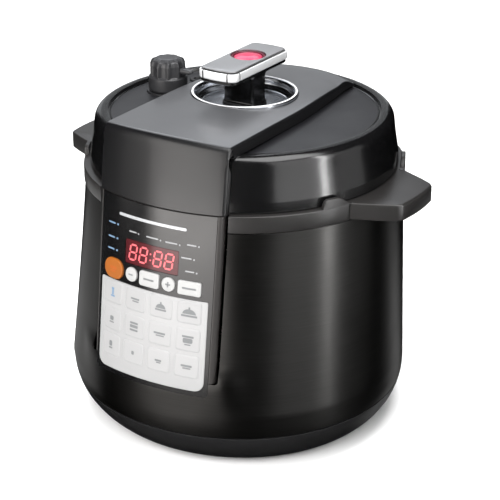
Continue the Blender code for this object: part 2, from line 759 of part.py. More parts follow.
def bridge_point(x, y, z):
    """A point of the straight bridge, moved to its curved ends, its arched top and its narrower rear."""
    front = min(max((-0.060 - y) / 0.060, 0.0), 1.0)
    rear = min(max((y - 0.060) / 0.060, 0.0), 1.0)
    sag = PANEL_CURVE - math.sqrt(PANEL_CURVE ** 2 - x * x)
    rear_sag = LID_SKIRT_RADIUS - math.sqrt(LID_SKIRT_RADIUS ** 2 - x * x)
    raised = min(max((z - BRIDGE_FLOOR) / 0.010, 0.0), 1.0)
    arch = BRIDGE_ARCH * (x / BRIDGE_HALF) ** 2 * raised * (1 - rear)
    narrow = 1 - BRIDGE_TAPER * min(max(y / 0.120, 0.0), 1.0)
    return (x * narrow, y + sag * front - rear_sag * rear, z - arch)


def bridge_outline(skin):
    """Side view of the bridge as (y, z), at a depth below its outer surface."""
    front_radius = 0.012
    front_y = -0.1419 + 0.119 * (0.281 - COLLAR_TOP)
    top_y = front_y + front_radius
    points = [(-0.1419 + skin, LID_BOTTOM), (front_y + skin, 0.281)]
    centre_z = bridge_height(top_y) - front_radius
    for step in range(1, 4):
        angle = math.pi / 2 * step / 4
        reach = front_radius - skin
        points.append((top_y - reach * math.cos(angle), centre_z + reach * math.sin(angle)))
    for y in (top_y, -0.070, -0.030, 0.010, 0.050, 0.080):
        points.append((y, bridge_height(y) - skin))
    fall_y = 0.080
    rear_y = 0.1330 - skin * 0.5
    low = BRIDGE_FLOOR + (0.0008 if skin == 0.0 else 0.0)
    drop = bridge_height(fall_y) - skin - low
    for step in (1, 2, 3, 4, 5):
        share = step / 5
        height = low + drop * (1 - share ** 2.2)
        points.append((fall_y + (rear_y - fall_y) * share, height))
    if skin == 0.0:
        points.append((rear_y, BRIDGE_FLOOR - 0.0001))
    return points


def make_bridge():
    """The raised band over the lid from front to back, with the front skirt that meets the control panel."""
    skin = BRIDGE_SKIN
    outer = bridge_outline(0.0)
    inner = bridge_outline(skin)

    rings = []
    outline = outer + inner[::-1]
    for step in range(9):
        x = BRIDGE_HALF * (step / 4 - 1)
        rings.append([bridge_point(x, y, z) for y, z in outline])
    bridge = loft("lid_bridge", rings, MATERIALS["gloss_black"])

    top_only = [(y, z) for y, z in outer if z > BRIDGE_FLOOR + 0.0025 and y < 0.128]
    for index, side in enumerate((-1, 1)):
        wall_rings = []
        for x in (side * BRIDGE_HALF, side * (BRIDGE_HALF - skin)):
            top = [bridge_point(x, y, z - 0.0010) for y, z in top_only]
            low = [bridge_point(x, y, BRIDGE_FLOOR) for y, z in top_only[::-1]]
            wall_rings.append(top + low)
        wall = loft(f"add_bridge_side_{index + 1}", wall_rings, MATERIALS["gloss_black"])
        combine(bridge, wall, "UNION")
    hole = cylinder("cut_bridge_dish", DISH_RADIUS + 0.0004, 0.285, 0.305, MATERIALS["gloss_black"],
                    segments=INNER_SEGMENTS)
    cut(bridge, hole)


def make_dish():
    """The bright bowl let into the bridge under the handle."""
    wall = 0.0013
    profile = [
        (BOLT_HOLE, DISH_FLOOR - wall),
        (0.036, DISH_FLOOR - wall),
        (0.0455, 0.2935),
        (DISH_RADIUS, 0.2960),
        (DISH_RADIUS, DISH_TOP - 0.0006),
        (DISH_RADIUS - 0.0008, DISH_TOP),
        (DISH_RADIUS - 0.0030, DISH_TOP),
        (DISH_RADIUS - 0.0040, DISH_TOP - 0.0010),
        (0.035, DISH_FLOOR),
        (BOLT_HOLE, DISH_FLOOR),
    ]
    turn("handle_dish", profile, MATERIALS["chrome"], segments=INNER_SEGMENTS)


def make_lid_handle():
    """Pedestal, bright frame, silver top, and the red lid release button with its ring and spring."""
    pedestal = prism("handle_pedestal", rounded_outline(0.017, 0.013, 0.005, 3), DISH_FLOOR + GAP,
                     BAR_UNDER - GAP, MATERIALS["satin_black"])
    bore = cylinder("cut_pedestal_bore", BOLT_HOLE, 0.285, 0.3043, MATERIALS["satin_black"], segments=12)
    cut(pedestal, bore)

    middle = (0.0, (BAR_FRONT + BAR_REAR) / 2)
    half_y = (BAR_REAR - BAR_FRONT) / 2
    wall = 0.002
    frame = prism("handle_frame", rounded_outline(BAR_HALF_WIDTH, half_y, 0.006, 4, middle), BAR_UNDER, BAR_RIM,
                  MATERIALS["chrome"])
    hollow = prism("cut_handle_frame", rounded_outline(BAR_HALF_WIDTH - wall, half_y - wall, 0.004, 4, middle),
                   BAR_UNDER + wall, BAR_RIM + 0.002, MATERIALS["chrome"])
    cut(frame, hollow)

    inset = wall + GAP
    top = prism("handle_top", rounded_outline(BAR_HALF_WIDTH - inset, half_y - inset, 0.0037, 4, middle), 0.3265,
                TOTAL_HEIGHT - 0.0003, MATERIALS["silver_paint"])
    hole = cylinder("cut_handle_top", 0.0158, 0.320, 0.335, MATERIALS["silver_paint"], BUTTON_CENTRE, 28)
    cut(top, hole)
    ring = [(0.0137, 0.3265), (0.0155, 0.3265), (0.0155, TOTAL_HEIGHT - 0.0003), (0.0150, TOTAL_HEIGHT),
            (0.0142, TOTAL_HEIGHT), (0.0137, TOTAL_HEIGHT - 0.0006)]
    turn("release_button_ring", ring, MATERIALS["satin_black"], BUTTON_CENTRE, 28)
    cap = [(0.0100, 0.3215), (0.0133, 0.3215), (0.0133, 0.3288), (0.0125, 0.3294), (0, 0.3297), (0, 0.3258),
           (0.0100, 0.3258)]
    turn("lid_release_button", cap, MATERIALS["red"], BUTTON_CENTRE, 28)
    make_spring("release_button_spring", BUTTON_CENTRE, 0.0060, BAR_UNDER + wall + GAP, 0.3255, 3)

    bolt = [(0, 0.2495), (0.008, 0.2495), (0.008, METAL_LID_UNDER - GAP), (BOLT_RADIUS, METAL_LID_UNDER - GAP),
            (BOLT_RADIUS, 0.3035), (0, 0.3035)]
    turn("handle_bolt", bolt, MATERIALS["steel"], segments=12)


def make_release_valve():
    """Steam pipe through the lid with its nut and guard, and the loose weight and knob on top of it."""
    x, y = VALVE_CENTRE
    pipe = [
        (0.0016, 0.2500), (0.0042, 0.2500), (0.0042, METAL_LID_TOP + GAP), (0.008, METAL_LID_TOP + GAP),
        (0.008, 0.2585), (0.0042, 0.2585), (0.0042, 0.2900), (0.0016, 0.2900),
    ]
    turn("steam_pipe", pipe, MATERIALS["steel"], VALVE_CENTRE, 12)
    nut = [(0.0053, 0.2510), (0.0078, 0.2510), (0.0078, METAL_LID_UNDER - GAP), (0.0053, METAL_LID_UNDER - GAP)]
    turn("steam_pipe_nut", nut, MATERIALS["steel"], VALVE_CENTRE, 6)
    guard = [(0.0020, 0.2452), (0.0115, 0.2452), (0.0135, 0.2470), (0.0135, METAL_LID_UNDER - GAP),
             (0.0125, METAL_LID_UNDER - GAP), (0.0125, 0.2474), (0.0110, 0.2462), (0.0020, 0.2462)]
    turn("anti_block_guard", guard, MATERIALS["steel"], VALVE_CENTRE, 16)
    weight = [(0, 0.2903), (0.0050, 0.2903), (0.0056, 0.2930), (0.0056, 0.2980), (0, 0.2980)]
    turn("valve_weight", weight, MATERIALS["steel"], VALVE_CENTRE, 12)
    knob = [
        (0.0062, 0.2840), (0.0165, 0.2840), (0.0178, 0.2860), (0.0174, 0.3078), (0.0152, 0.3116), (0.0086, 0.3136),
        (0, 0.3140), (0, 0.2985), (0.0062, 0.2985),
    ]
    cap = turn("steam_release_knob", knob, MATERIALS["satin_black"], VALVE_CENTRE, 28)
    lever = box("add_knob_lever", (x + 0.010, y - 0.0045, 0.3005), (x + 0.0270, y + 0.0045, 0.3060),
                MATERIALS["satin_black"])
    combine(cap, lever, "UNION")


def make_float_valve():
    """The small pin that rises through the lid when there is pressure inside."""
    pin = [(0, 0.2465), (0.0050, 0.2465), (0.0050, 0.2480), (0.0028, 0.2480), (0.0028, 0.2815), (0, 0.2815)]
    turn("float_valve", pin, MATERIALS["steel"], FLOAT_CENTRE, 12)


def main():
    steel = MATERIALS["steel"]
    front_columns = plate_columns(PANEL_HALF + 0.0005, 0.012, PANEL_FOOT - 0.0005, 0.006)
    front_cutter = panel_plate("cut_front", front_columns, -0.0130, steel)
    inlet_cutter = box("cut_inlet", (-0.0152, 0.120, INLET_HEIGHT - 0.0122), (0.0152, 0.160, INLET_HEIGHT + 0.0122),
                       steel)
    make_feet()
    make_base_cover(make_base_screws())
    make_body_shell(front_cutter, inlet_cutter)
    make_collar(front_cutter)
    make_control_panel()
    make_liner()
    make_inner_pot()
    make_heater()
    make_inner_electrics()
    make_power_inlet()
    make_condensation_cup(-panel_point(0, PANEL_FOOT + 0.0015, 0).y)

    bolt_hole = cylinder("cut_bolt_hole", BOLT_HOLE, 0.240, 0.290, steel, segments=12)
    pipe_hole = cylinder("cut_pipe_hole", 0.0046, 0.240, 0.290, steel, VALVE_CENTRE, 12)
    pin_hole = cylinder("cut_pin_hole", 0.0033, 0.240, 0.290, steel, FLOAT_CENTRE, 12)
    make_metal_lid((bolt_hole, pipe_hole, pin_hole))
    make_seal()
    make_lid_shell((bolt_hole, pipe_hole, pin_hole))
    make_bridge()
    make_dish()
    make_lid_handle()
    make_release_valve()
    make_float_valve()


clear_scene()
main()
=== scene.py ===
"""Looks of the electric pressure cooker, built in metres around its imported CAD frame."""

import json
import math

import bmesh
import bpy
from mathutils import Matrix, Vector


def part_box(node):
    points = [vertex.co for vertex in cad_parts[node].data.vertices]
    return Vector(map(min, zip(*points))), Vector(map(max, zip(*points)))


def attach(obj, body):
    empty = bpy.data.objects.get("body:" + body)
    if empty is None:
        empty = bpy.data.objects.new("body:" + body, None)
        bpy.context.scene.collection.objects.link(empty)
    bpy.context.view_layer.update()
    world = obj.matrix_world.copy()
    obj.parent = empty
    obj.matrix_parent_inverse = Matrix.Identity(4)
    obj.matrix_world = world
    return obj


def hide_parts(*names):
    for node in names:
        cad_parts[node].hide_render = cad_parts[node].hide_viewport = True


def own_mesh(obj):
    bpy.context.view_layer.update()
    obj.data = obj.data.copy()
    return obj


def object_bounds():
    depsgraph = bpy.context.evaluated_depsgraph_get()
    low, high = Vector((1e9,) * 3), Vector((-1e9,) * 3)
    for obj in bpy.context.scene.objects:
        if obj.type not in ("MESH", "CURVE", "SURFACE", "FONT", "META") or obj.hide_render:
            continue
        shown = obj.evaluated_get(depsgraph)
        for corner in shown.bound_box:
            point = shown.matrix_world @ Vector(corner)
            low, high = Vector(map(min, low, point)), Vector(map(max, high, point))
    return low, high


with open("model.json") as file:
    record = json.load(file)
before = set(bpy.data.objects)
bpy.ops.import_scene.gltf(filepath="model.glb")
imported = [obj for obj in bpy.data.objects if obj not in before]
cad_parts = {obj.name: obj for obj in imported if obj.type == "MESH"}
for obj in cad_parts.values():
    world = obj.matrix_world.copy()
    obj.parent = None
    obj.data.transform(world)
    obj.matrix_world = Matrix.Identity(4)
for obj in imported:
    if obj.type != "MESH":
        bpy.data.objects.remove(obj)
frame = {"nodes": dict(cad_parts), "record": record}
CAD_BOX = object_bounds()


def low(node, axis=2):
    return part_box(node)[0][axis]


def high(node, axis=2):
    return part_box(node)[1][axis]


# Levels and sizes read from the frame.
FLOOR_GAP = low("base_cover")
SEAM = low("body_shell")
SHELL_TOP = high("body_shell")
COLLAR_LOW = low("collar_with_side_handles")
LID_LOW = low("lid_shell")
COLLAR_TOP = LID_LOW - 0.0005
PAD_TOP = high("collar_with_side_handles")
COLLAR_RADIUS = high("collar_with_side_handles", 1)
HANDLE_REACH = high("collar_with_side_handles", 0)
LID_RADIUS = high("lid_shell", 0)
RIM_TOP = high("lid_shell")
HANDLE_CORNER = (0.1725, 0.0290)
HANDLE_ROOT = (0.1335, 0.0480)
PANEL_Y = low("lid_bridge", 1)
BRIDGE_HALF = high("lid_bridge", 0)
BRIDGE_CROWN = high("lid_bridge")
DISH_RADIUS = high("handle_dish", 0)
DISH_TOP = high("handle_dish")
BAR_LOW = low("handle_frame") + 0.0035
BAR_TOP = high("handle_top")
PLATE_LOW = low("handle_top")
BAR_HALF = high("handle_frame", 0)
BAR_FRONT = low("handle_frame", 1)
BAR_REAR = high("handle_frame", 1)
PANEL_REACH = CAD_BOX[0][1] + 0.0001
MIDDLE_LEVEL = 0.160
POT_RADIUS = 0.111
POT_LOW = low("inner_pot")
POT_TOP = high("inner_pot")
POT_LIP = high("inner_pot", 0)


def middle(node):
    lowest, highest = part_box(node)
    return tuple((a + b) / 2 for a, b in zip(lowest, highest))


VALVE = middle("valve_weight")[:2]
FLOAT = middle("float_valve")[:2]
RED_BUTTON = middle("lid_release_button")[:2]
BUTTON_WELL = (0.0158, PLATE_LOW - 0.0065, PLATE_LOW + 0.0085, RED_BUTTON)
FLOAT_WELL = (0.0033, RIM_TOP - 0.0140, RIM_TOP + 0.0010, FLOAT, 48)

# The body's swelling, the same as the frame's.
RADIUS_TOP = 0.142
RADIUS_WIDEST = 0.1473
WIDEST = 0.048
BASE_RADIUS = 0.122
SWELL = 0.0135
SWELL_HEIGHT = 0.060
SWELL_AT_FLOOR = 0.005
SWELL_ANGLES = (math.radians(30), math.radians(118))

# The control panel's leaning cylinder: s along its arc, v up its face, h outwards.
PANEL_CURVE = 0.170
PANEL_SLOPE = 0.119
LEAN = math.atan(PANEL_SLOPE)
PANEL_FOOT = -0.160
FOOT_HEIGHT = 0.0785
GROOVE_END = -0.1460
FACE_HALF = 0.0588
HOUSING_HALF = 0.0646
OPENING_HALF = 0.0674
KEYPAD_HALF = 0.0553
KEYPAD_LOW = -0.1540
KEYPAD_HIGH = -0.0735
WINDOW_HALF = 0.0270
WINDOW_CENTRE = (0.0, -0.0440)
BUTTON_ROW = -0.0635
ROUND = 144
MM = 0.001

MATERIALS = {}
WORN_COLOUR = (0.30, 0.30, 0.31, 1.0)


# ---------------------------------------------------------------- materials


def set_inputs(tree, node, inputs):
    """Links each input whose value is a socket, and sets the others."""
    for name, value in inputs.items():
        if isinstance(value, bpy.types.NodeSocket):
            tree.links.new(value, node.inputs[name])
        else:
            node.inputs[name].default_value = value


def add_node(tree, kind, inputs, **settings):
    """A new shader node with its settings and its inputs."""
    node = tree.nodes.new("ShaderNode" + kind)
    for name, value in settings.items():
        setattr(node, name, value)
    set_inputs(tree, node, inputs)
    return node


def map_range(tree, value, source, target, interpolation="LINEAR"):
    inputs = {"Value": value}
    for name, ends in (("From", source), ("To", target)):
        inputs[f"{name} Min"], inputs[f"{name} Max"] = ends
    return add_node(tree, "MapRange", inputs, interpolation_type=interpolation).outputs["Result"]


def mix_colours(tree, share, first, second):
    inputs = {"Factor": share, "A": first, "B": second}
    return add_node(tree, "Mix", inputs, data_type="RGBA").outputs["Result"]


def finish(name, colour, roughness, metallic=0.0, painted_top_light=None, tint=0.12, grain=900.0,
           stretch=(1.0, 1.0, 1.0), bump=0.04, smudge=0.25, wear=0.0, coat=0.0, specular=0.5, glow=0.0,
           brushed=0.0, edge_tint=1.0):
    """A procedural surface: fine grain in bump and roughness, smudges, colour variation and worn edges, and,
    given a top colour, a painted lighter top for the light falling from above.
    """
    material = bpy.data.materials.new(name)
    material.use_nodes = True
    tree = material.node_tree
    place = add_node(tree, "TexCoord", {})
    mapping = add_node(tree, "Mapping", {"Scale": stretch, "Vector": place.outputs["Object"]})
    fine = add_node(tree, "TexNoise", {"Scale": grain, "Detail": 3.0, "Vector": mapping.outputs["Vector"]})
    fine = fine.outputs["Fac"]
    broad = add_node(tree, "TexNoise", {"Scale": 22.0, "Detail": 4.0, "Vector": place.outputs["Object"]})
    broad = broad.outputs["Fac"]

    both = add_node(tree, "Math", {0: fine, 1: 0.4, 2: broad}, operation="MULTIPLY_ADD")
    smoothest = roughness * (1 - smudge)
    roughest = min(roughness * (1 + smudge), 1.0)
    darker = (*(value * (1 - tint) for value in colour), 1.0)
    lighter = (*(min(value * (1 + tint), 1.0) for value in colour), 1.0)
    painted = mix_colours(tree, fine, darker, lighter)
    if wear:
        edge = add_node(tree, "NewGeometry", {}).outputs["Pointiness"]
        worn = map_range(tree, edge, (0.53, 0.62), (0.0, wear))
        patchy = add_node(tree, "Math", {0: worn, 1: broad}, operation="MULTIPLY")
        painted = mix_colours(tree, patchy.outputs[0], painted, WORN_COLOUR)
    # Painted light: faces turned upwards get a lighter colour, standing in for the light that falls on the
    # top.
    if painted_top_light:
        upwards = add_node(tree, "SeparateXYZ", {"Vector": place.outputs["Normal"]}).outputs["Z"]
        level = map_range(tree, upwards, (0.82, 0.975), (0.0, 1.0), "SMOOTHSTEP")
        painted = mix_colours(tree, level, painted, (*painted_top_light, 1.0))
    dent = add_node(tree, "Bump", {"Strength": bump, "Distance": 0.0004, "Height": fine})
    inputs = {
        "Base Color": painted,
        "Roughness": map_range(tree, both.outputs[0], (0.4, 1.0), (smoothest, roughest)),
        "Normal": dent.outputs["Normal"],
        "Metallic": metallic,
        "Coat Weight": coat,
        "Coat Roughness": 0.12,
        "Specular IOR Level": specular,
        "Specular Tint": (edge_tint, edge_tint, edge_tint, 1.0),
    }
    if glow:
        inputs["Emission Color"] = (*colour, 1.0)
        inputs["Emission Strength"] = glow
    if brushed:
        tangent = add_node(tree, "Tangent", {}, direction_type="RADIAL", axis="Z")
        inputs["Anisotropic"] = brushed
        inputs["Anisotropic Rotation"] = 0.25
        inputs["Tangent"] = tangent.outputs["Tangent"]
    set_inputs(tree, tree.nodes["Principled BSDF"], inputs)
    MATERIALS[name] = material
    return material


def make_materials():
    finish("dark_steel", (0.105, 0.103, 0.100), 0.36, metallic=1.0, tint=0.15, grain=60,
           stretch=(0.5, 0.5, 22), bump=0.02, smudge=0.12, wear=0.15, brushed=0.75, edge_tint=0.8)
    finish("gloss_black", (0.003, 0.003, 0.0032), 0.20, grain=700, bump=0.02, coat=0.6, specular=1.0)
    finish("panel_black", (0.003, 0.003, 0.0032), 0.22, grain=700, bump=0.02, smudge=0.20, coat=0.25,
           specular=1.0)
    finish("housing_black", (0.028, 0.026, 0.025), 0.36, grain=900, bump=0.03, smudge=0.20)
    # The band's top gets a painted lighter colour for the light from above; its sides stay glossy black.
    finish("band_black", (0.004, 0.004, 0.0045), 0.36, painted_top_light=(0.050, 0.051, 0.054), grain=900, bump=0.02,
           smudge=0.08, coat=0.25, specular=1.0)
    finish("lid_disc", (0.006, 0.006, 0.007), 0.42, grain=1500, bump=0.12, smudge=0.15, specular=0.7)
    finish("satin_black", (0.009, 0.009, 0.0095), 0.42, grain=1700, bump=0.14, smudge=0.18, wear=0.12,
           specular=0.7)
    finish("post_black", (0.002, 0.002, 0.002), 0.20, grain=1500, bump=0.02, smudge=0.2, specular=0.8)
    finish("collar_grey", (0.0136, 0.0128, 0.0124), 0.34, tint=0.15, grain=1500, bump=0.10, smudge=0.20,
           wear=0.10, specular=1.0)
    finish("knob_grey", (0.0225, 0.0225, 0.024), 0.30, grain=1700, bump=0.05, smudge=0.20, wear=0.15,
           specular=1.0)
    finish("matte_black", (0.013, 0.013, 0.013), 0.62, grain=1500, bump=0.20, smudge=0.15)
    finish("chrome", (0.64, 0.66, 0.70), 0.20, metallic=1.0, tint=0.01, grain=500, bump=0.002, smudge=0.10)
    finish("satin_chrome", (0.85, 0.855, 0.865), 0.24, metallic=0.4, tint=0.02, grain=900, bump=0.02,
           smudge=0.2, coat=0.3)
    finish("silver_paint", (0.40, 0.402, 0.412), 0.42, metallic=0.8, tint=0.06, grain=3200, bump=0.05,
           smudge=0.15, coat=0.4)
    finish("steel", (0.60, 0.60, 0.59), 0.26, metallic=1.0, tint=0.08, grain=90, stretch=(0.6, 0.6, 26))
    finish("spun_steel", (0.62, 0.62, 0.61), 0.24, metallic=1.0, tint=0.06, grain=600, bump=0.03, smudge=0.30)
    finish("cast_aluminium", (0.52, 0.52, 0.53), 0.48, metallic=1.0, tint=0.10, grain=1100, bump=0.30,
           smudge=0.20)
    finish("brass", (0.70, 0.50, 0.20), 0.28, metallic=1.0, grain=900, bump=0.03)
    finish("silicone", (0.66, 0.66, 0.63), 0.50, tint=0.04, grain=800, bump=0.05)
    finish("rubber", (0.022, 0.022, 0.022), 0.80, grain=1300, bump=0.25)
    finish("red", (0.391, 0.0255, 0.0723), 0.30, tint=0.10, grain=900, bump=0.02, coat=0.6)
    finish("ring_red", (0.0723, 0.0068, 0.0153), 0.24, grain=900, bump=0.02, coat=0.5)
    finish("orange", (0.225, 0.0646, 0.00674), 0.36, tint=0.05, grain=1400, bump=0.05)
    finish("white", (0.279, 0.279, 0.275), 0.36, tint=0.02, grain=1400, bump=0.04)
    finish("key_white", (0.245, 0.245, 0.245), 0.36, tint=0.02, grain=2400, bump=0.03, smudge=0.20)
    finish("print_grey", (0.115, 0.119, 0.122), 0.45, grain=1200, bump=0.03)
    finish("print_blue", (0.0936, 0.158, 0.238), 0.45, grain=1200, bump=0.03)
    finish("print_pale", (0.204, 0.208, 0.212), 0.40, grain=1200, bump=0.03)
    finish("print_orange", (0.274, 0.0612, 0.00576), 0.45, grain=1200, bump=0.03)
    finish("trim_silver", (0.425, 0.433, 0.442), 0.26, metallic=0.4, tint=0.04, grain=1500, bump=0.02)
    finish("display_red", (0.050, 0.006, 0.008), 0.20, grain=600, bump=0.01, coat=0.5)
    finish("lit_segment", (0.45, 0.08, 0.09), 0.30, grain=900, bump=0.01, glow=0.45)
    finish("circuit", (0.02, 0.13, 0.06), 0.45, tint=0.30, grain=420, bump=0.12)
    finish("clear_grey", (0.20, 0.21, 0.23), 0.14, tint=0.05, grain=700, bump=0.02, coat=0.4)


# ---------------------------------------------------------------- shape tools


def fillet(corners, steps=6):
    """A closed outline whose corners, given as (x, y, radius), are rounded."""
    outline = []
    for i, (x, y, radius) in enumerate(corners):
        corner = Vector((x, y))
        before = Vector(corners[i - 1][:2]) - corner
        after = Vector(corners[(i + 1) % len(corners)][:2]) - corner
        if radius <= 0:
            outline.append((x, y))
            continue
        half = before.angle(after) / 2
        reach = min(radius / math.tan(half), 0.49 * before.length, 0.49 * after.length)
        inward = (before.normalized() + after.normalized()).normalized()
        centre = corner + inward * (reach / math.cos(half))
        start = corner + before.normalized() * reach - centre
        end = corner + after.normalized() * reach - centre
        sweep = math.copysign(math.pi - 2 * half, start.x * end.y - start.y * end.x)
        for step in range(steps + 1):
            angle = sweep * step / steps
            outline.append((
                centre.x + start.x * math.cos(angle) - start.y * math.sin(angle),
                centre.y + start.x * math.sin(angle) + start.y * math.cos(angle),
            ))
    return outline


def rounded_outline(half_x, half_y, radius, steps=8, centre=(0.0, 0.0)):
    outline = []
    for corner, (side_x, side_y) in enumerate(((1, 1), (-1, 1), (-1, -1), (1, -1))):
        for step in range(steps + 1):
            angle = math.pi / 2 * (corner + step / steps)
            outline.append((
                centre[0] + side_x * (half_x - radius) + radius * math.cos(angle),
                centre[1] + side_y * (half_y - radius) + radius * math.sin(angle),
            ))
    return outline


def add_rings(work, rings, wrap=False):
    """Adds a closed solid through rings of points: with wrap a closed loop, else capped at both ends."""
    rows = [[work.verts.new(point) for point in ring] for ring in rings]
    count = len(rows[0])
    pairs = list(zip(rows, rows[1:]))
    if wrap:
        pairs.append((rows[-1], rows[0]))
    else:
        work.faces.new(rows[0][::-1])
        work.faces.new(rows[-1])
    for first, second in pairs:
        for j in range(count):
            k = (j + 1) % count
            work.faces.new((first[j], first[k], second[k], second[j]))


def plate_rings(outline, back, front):
    """The two rings of a flat plate with this outline."""
    return [[(x, y, height) for x, y in outline] for height in (back, front)]


def soft_levels(base, top, bevel, crown=0.0):
    """(inset, height, scale) of a pad from its base up, over a rounded edge to a slightly crowned top."""
    levels = [(bevel * 0.5, base, 1.0), (0.0, base + bevel * 0.5, 1.0)]
    for step in range(6):
        angle = math.pi / 2 * step / 5
        levels.append((bevel * (1 - math.cos(angle)), top - crown - bevel * (1 - math.sin(angle)), 1.0))
    if crown:
        for scale in (0.8, 0.6, 0.4, 0.2):
            levels.append((bevel, top - crown * scale * scale, scale))
    return levels


def add_pad(work, half_x, half_y, radius, levels, centre=(0.0, 0.0), steps=8):
    """Adds a pad with rounded corners, its outline drawn in and scaled at each level."""
    rings = []
    for inset, height, scale in levels:
        corner = max(radius - inset, 0.0001)
        outline = rounded_outline(half_x - inset, half_y - inset, corner, steps)
        rings.append([(centre[0] + x * scale, centre[1] + y * scale, height) for x, y in outline])
    add_rings(work, rings)


def add_bar(work, half_x, half_y, base, top, centre, bevel=0.00006):
    """Adds a flat printed bar or spot with softened corners."""
    part = bmesh.new()
    radius = min(half_x, half_y) * 0.6
    add_pad(part, half_x, half_y, radius, [(0, base, 1), (0, top - bevel, 1), (bevel, top, 1)], steps=4)
    part.transform(Matrix.Translation((centre[0], centre[1], 0)))
    mesh = bpy.data.meshes.new("part")
    part.to_mesh(mesh)
    part.free()
    work.from_mesh(mesh)
    bpy.data.meshes.remove(mesh)


def add_lathe(work, profile, centre=(0.0, 0.0), segments=ROUND, angles=None):
    """Adds a turned solid from a closed (radius, height) outline, or a function of the angle from -Y."""
    if angles is None:
        angles = [math.tau * i / segments for i in range(segments)]
    rings = []
    for angle in angles:
        outline = profile(angle) if callable(profile) else profile
        rings.append([
            (centre[0] + radius * math.sin(angle), centre[1] - radius * math.cos(angle), height)
            for radius, height in outline
        ])
    add_rings(work, rings, wrap=True)


def to_object(name, work):
    """An object from the work mesh, with its faces turned outwards and its sharp edges kept."""
    bmesh.ops.remove_doubles(work, verts=work.verts, dist=2e-6)
    flat = [face for face in work.faces if face.calc_area() < 1e-14]
    bmesh.ops.delete(work, geom=flat, context="FACES_ONLY")
    bmesh.ops.recalc_face_normals(work, faces=work.faces)
    if work.calc_volume(signed=True) < 0:
        bmesh.ops.reverse_faces(work, faces=work.faces)
    mesh = bpy.data.meshes.new(name)
    work.to_mesh(mesh)
    work.free()
    mesh.shade_smooth()
    mesh.set_sharp_from_angle(angle=math.radians(32))
    obj = bpy.data.objects.new(name, mesh)
    bpy.context.scene.collection.objects.link(obj)
    return obj


def carve(obj, *cutters):
    """Cuts the cutters out of obj for good."""
    for cutter in cutters:
        modifier = obj.modifiers.new("cut", "BOOLEAN")
        modifier.solver = "MANIFOLD"
        modifier.object = cutter
    graph = bpy.context.evaluated_depsgraph_get()
    mesh = bpy.data.meshes.new_from_object(obj.evaluated_get(graph))
    obj.modifiers.clear()
    obj.data = mesh
    mesh.shade_smooth()
    mesh.set_sharp_from_angle(angle=math.radians(32))
    for cutter in cutters:
        bpy.data.objects.remove(cutter)
    return obj


def put(obj, material, body, slot, *nodes):
    """Gives a finished piece its material and body, and hides the nodes it stands for. The slot is not used.
    """
    obj.data.materials.clear()
    obj.data.materials.append(MATERIALS[material])
    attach(obj, body)
    if nodes:
        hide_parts(*nodes)
    return obj


def solid(name, *stacks):
    """An object with one closed solid for each stack of rings."""
    work = bmesh.new()
    for rings in stacks:
        add_rings(work, rings)
    return to_object(name, work)


def lathe(name, profile, centre=(0.0, 0.0), segments=ROUND):
    work = bmesh.new()
    add_lathe(work, profile, centre, segments)
    return to_object(name, work)


def turned_part(name, level, corners, centre=(0.0, 0.0), segments=96, steps=5):
    """A turned solid from corners given as (radius, height over the level, rounding) in millimetres."""
    outline = [(radius * MM, level + height * MM, soft * MM) for radius, height, soft in corners]
    return lathe(name, fillet(outline, steps), centre, segments)


def plug(radius, base, top, centre=(0.0, 0.0), segments=96):
    """A round cutter between two levels."""
    return lathe("plug", [(0, base), (radius, base), (radius, top), (0, top)], centre, segments)


def pad(name, half_x, half_y, radius, levels, centre=(0.0, 0.0), steps=8):
    work = bmesh.new()
    add_pad(work, half_x, half_y, radius, levels, centre, steps)
    return to_object(name, work)


# ---------------------------------------------------------------- the body's and the panel's surfaces


def smoothstep(value):
    value = min(max(value, 0.0), 1.0)
    return value * value * (3 - 2 * value)


def body_radius(angle, height):
    """Radius of the body at an angle from -Y, as the frame has it."""
    if height >= WIDEST:
        radius = RADIUS_WIDEST - (RADIUS_WIDEST - RADIUS_TOP) * (height - WIDEST) / (SHELL_TOP - WIDEST)
    else:
        depth = (WIDEST - height) / (WIDEST - FLOOR_GAP)
        radius = BASE_RADIUS + (RADIUS_WIDEST - BASE_RADIUS) * max(1 - depth * depth, 0.0) ** 0.75
    if height >= SWELL_HEIGHT:
        swell = SWELL * (max(SHELL_TOP - height, 0.0) / (SHELL_TOP - SWELL_HEIGHT)) ** 1.15
    else:
        share = (height - FLOOR_GAP) / (SWELL_HEIGHT - FLOOR_GAP)
        swell = SWELL_AT_FLOOR + (SWELL - SWELL_AT_FLOOR) * share
    turned = abs((angle + math.pi) % math.tau - math.pi)
    fade = smoothstep((turned - SWELL_ANGLES[0]) / (SWELL_ANGLES[1] - SWELL_ANGLES[0]))
    return radius + swell * (1 - fade)


def panel_radius(angle, height):
    """Distance from the body's axis to the panel's cylinder at an angle from -Y."""
    face_y = PANEL_Y - PANEL_SLOPE * (COLLAR_TOP - height)
    centre_y = face_y + PANEL_CURVE / math.cos(LEAN)
    squash = math.cos(LEAN) ** 2
    a = math.sin(angle) ** 2 + math.cos(angle) ** 2 * squash
    b = 2 * math.cos(angle) * centre_y * squash
    c = centre_y ** 2 * squash - PANEL_CURVE ** 2
    return (-b + math.sqrt(b * b - 4 * a * c)) / (2 * a)


def skin_radius(angle, height):
    """The body's radius, drawn out round the panel's foot until it is flush with the panel."""
    radius = body_radius(angle, height)
    turned = abs((angle + math.pi) % math.tau - math.pi)
    side = 1 - smoothstep((turned - math.radians(24.5)) / math.radians(10))
    if not side:
        return radius
    groove_end = COLLAR_TOP + GROOVE_END * math.cos(LEAN)
    rise = smoothstep((height - SEAM) / 0.022) * (1 - smoothstep((height - groove_end) / 0.014))
    target = min(panel_radius(turned, max(height, FOOT_HEIGHT)) - 0.0001, -PANEL_REACH)
    return radius + side * rise * max(target - radius, 0.0)


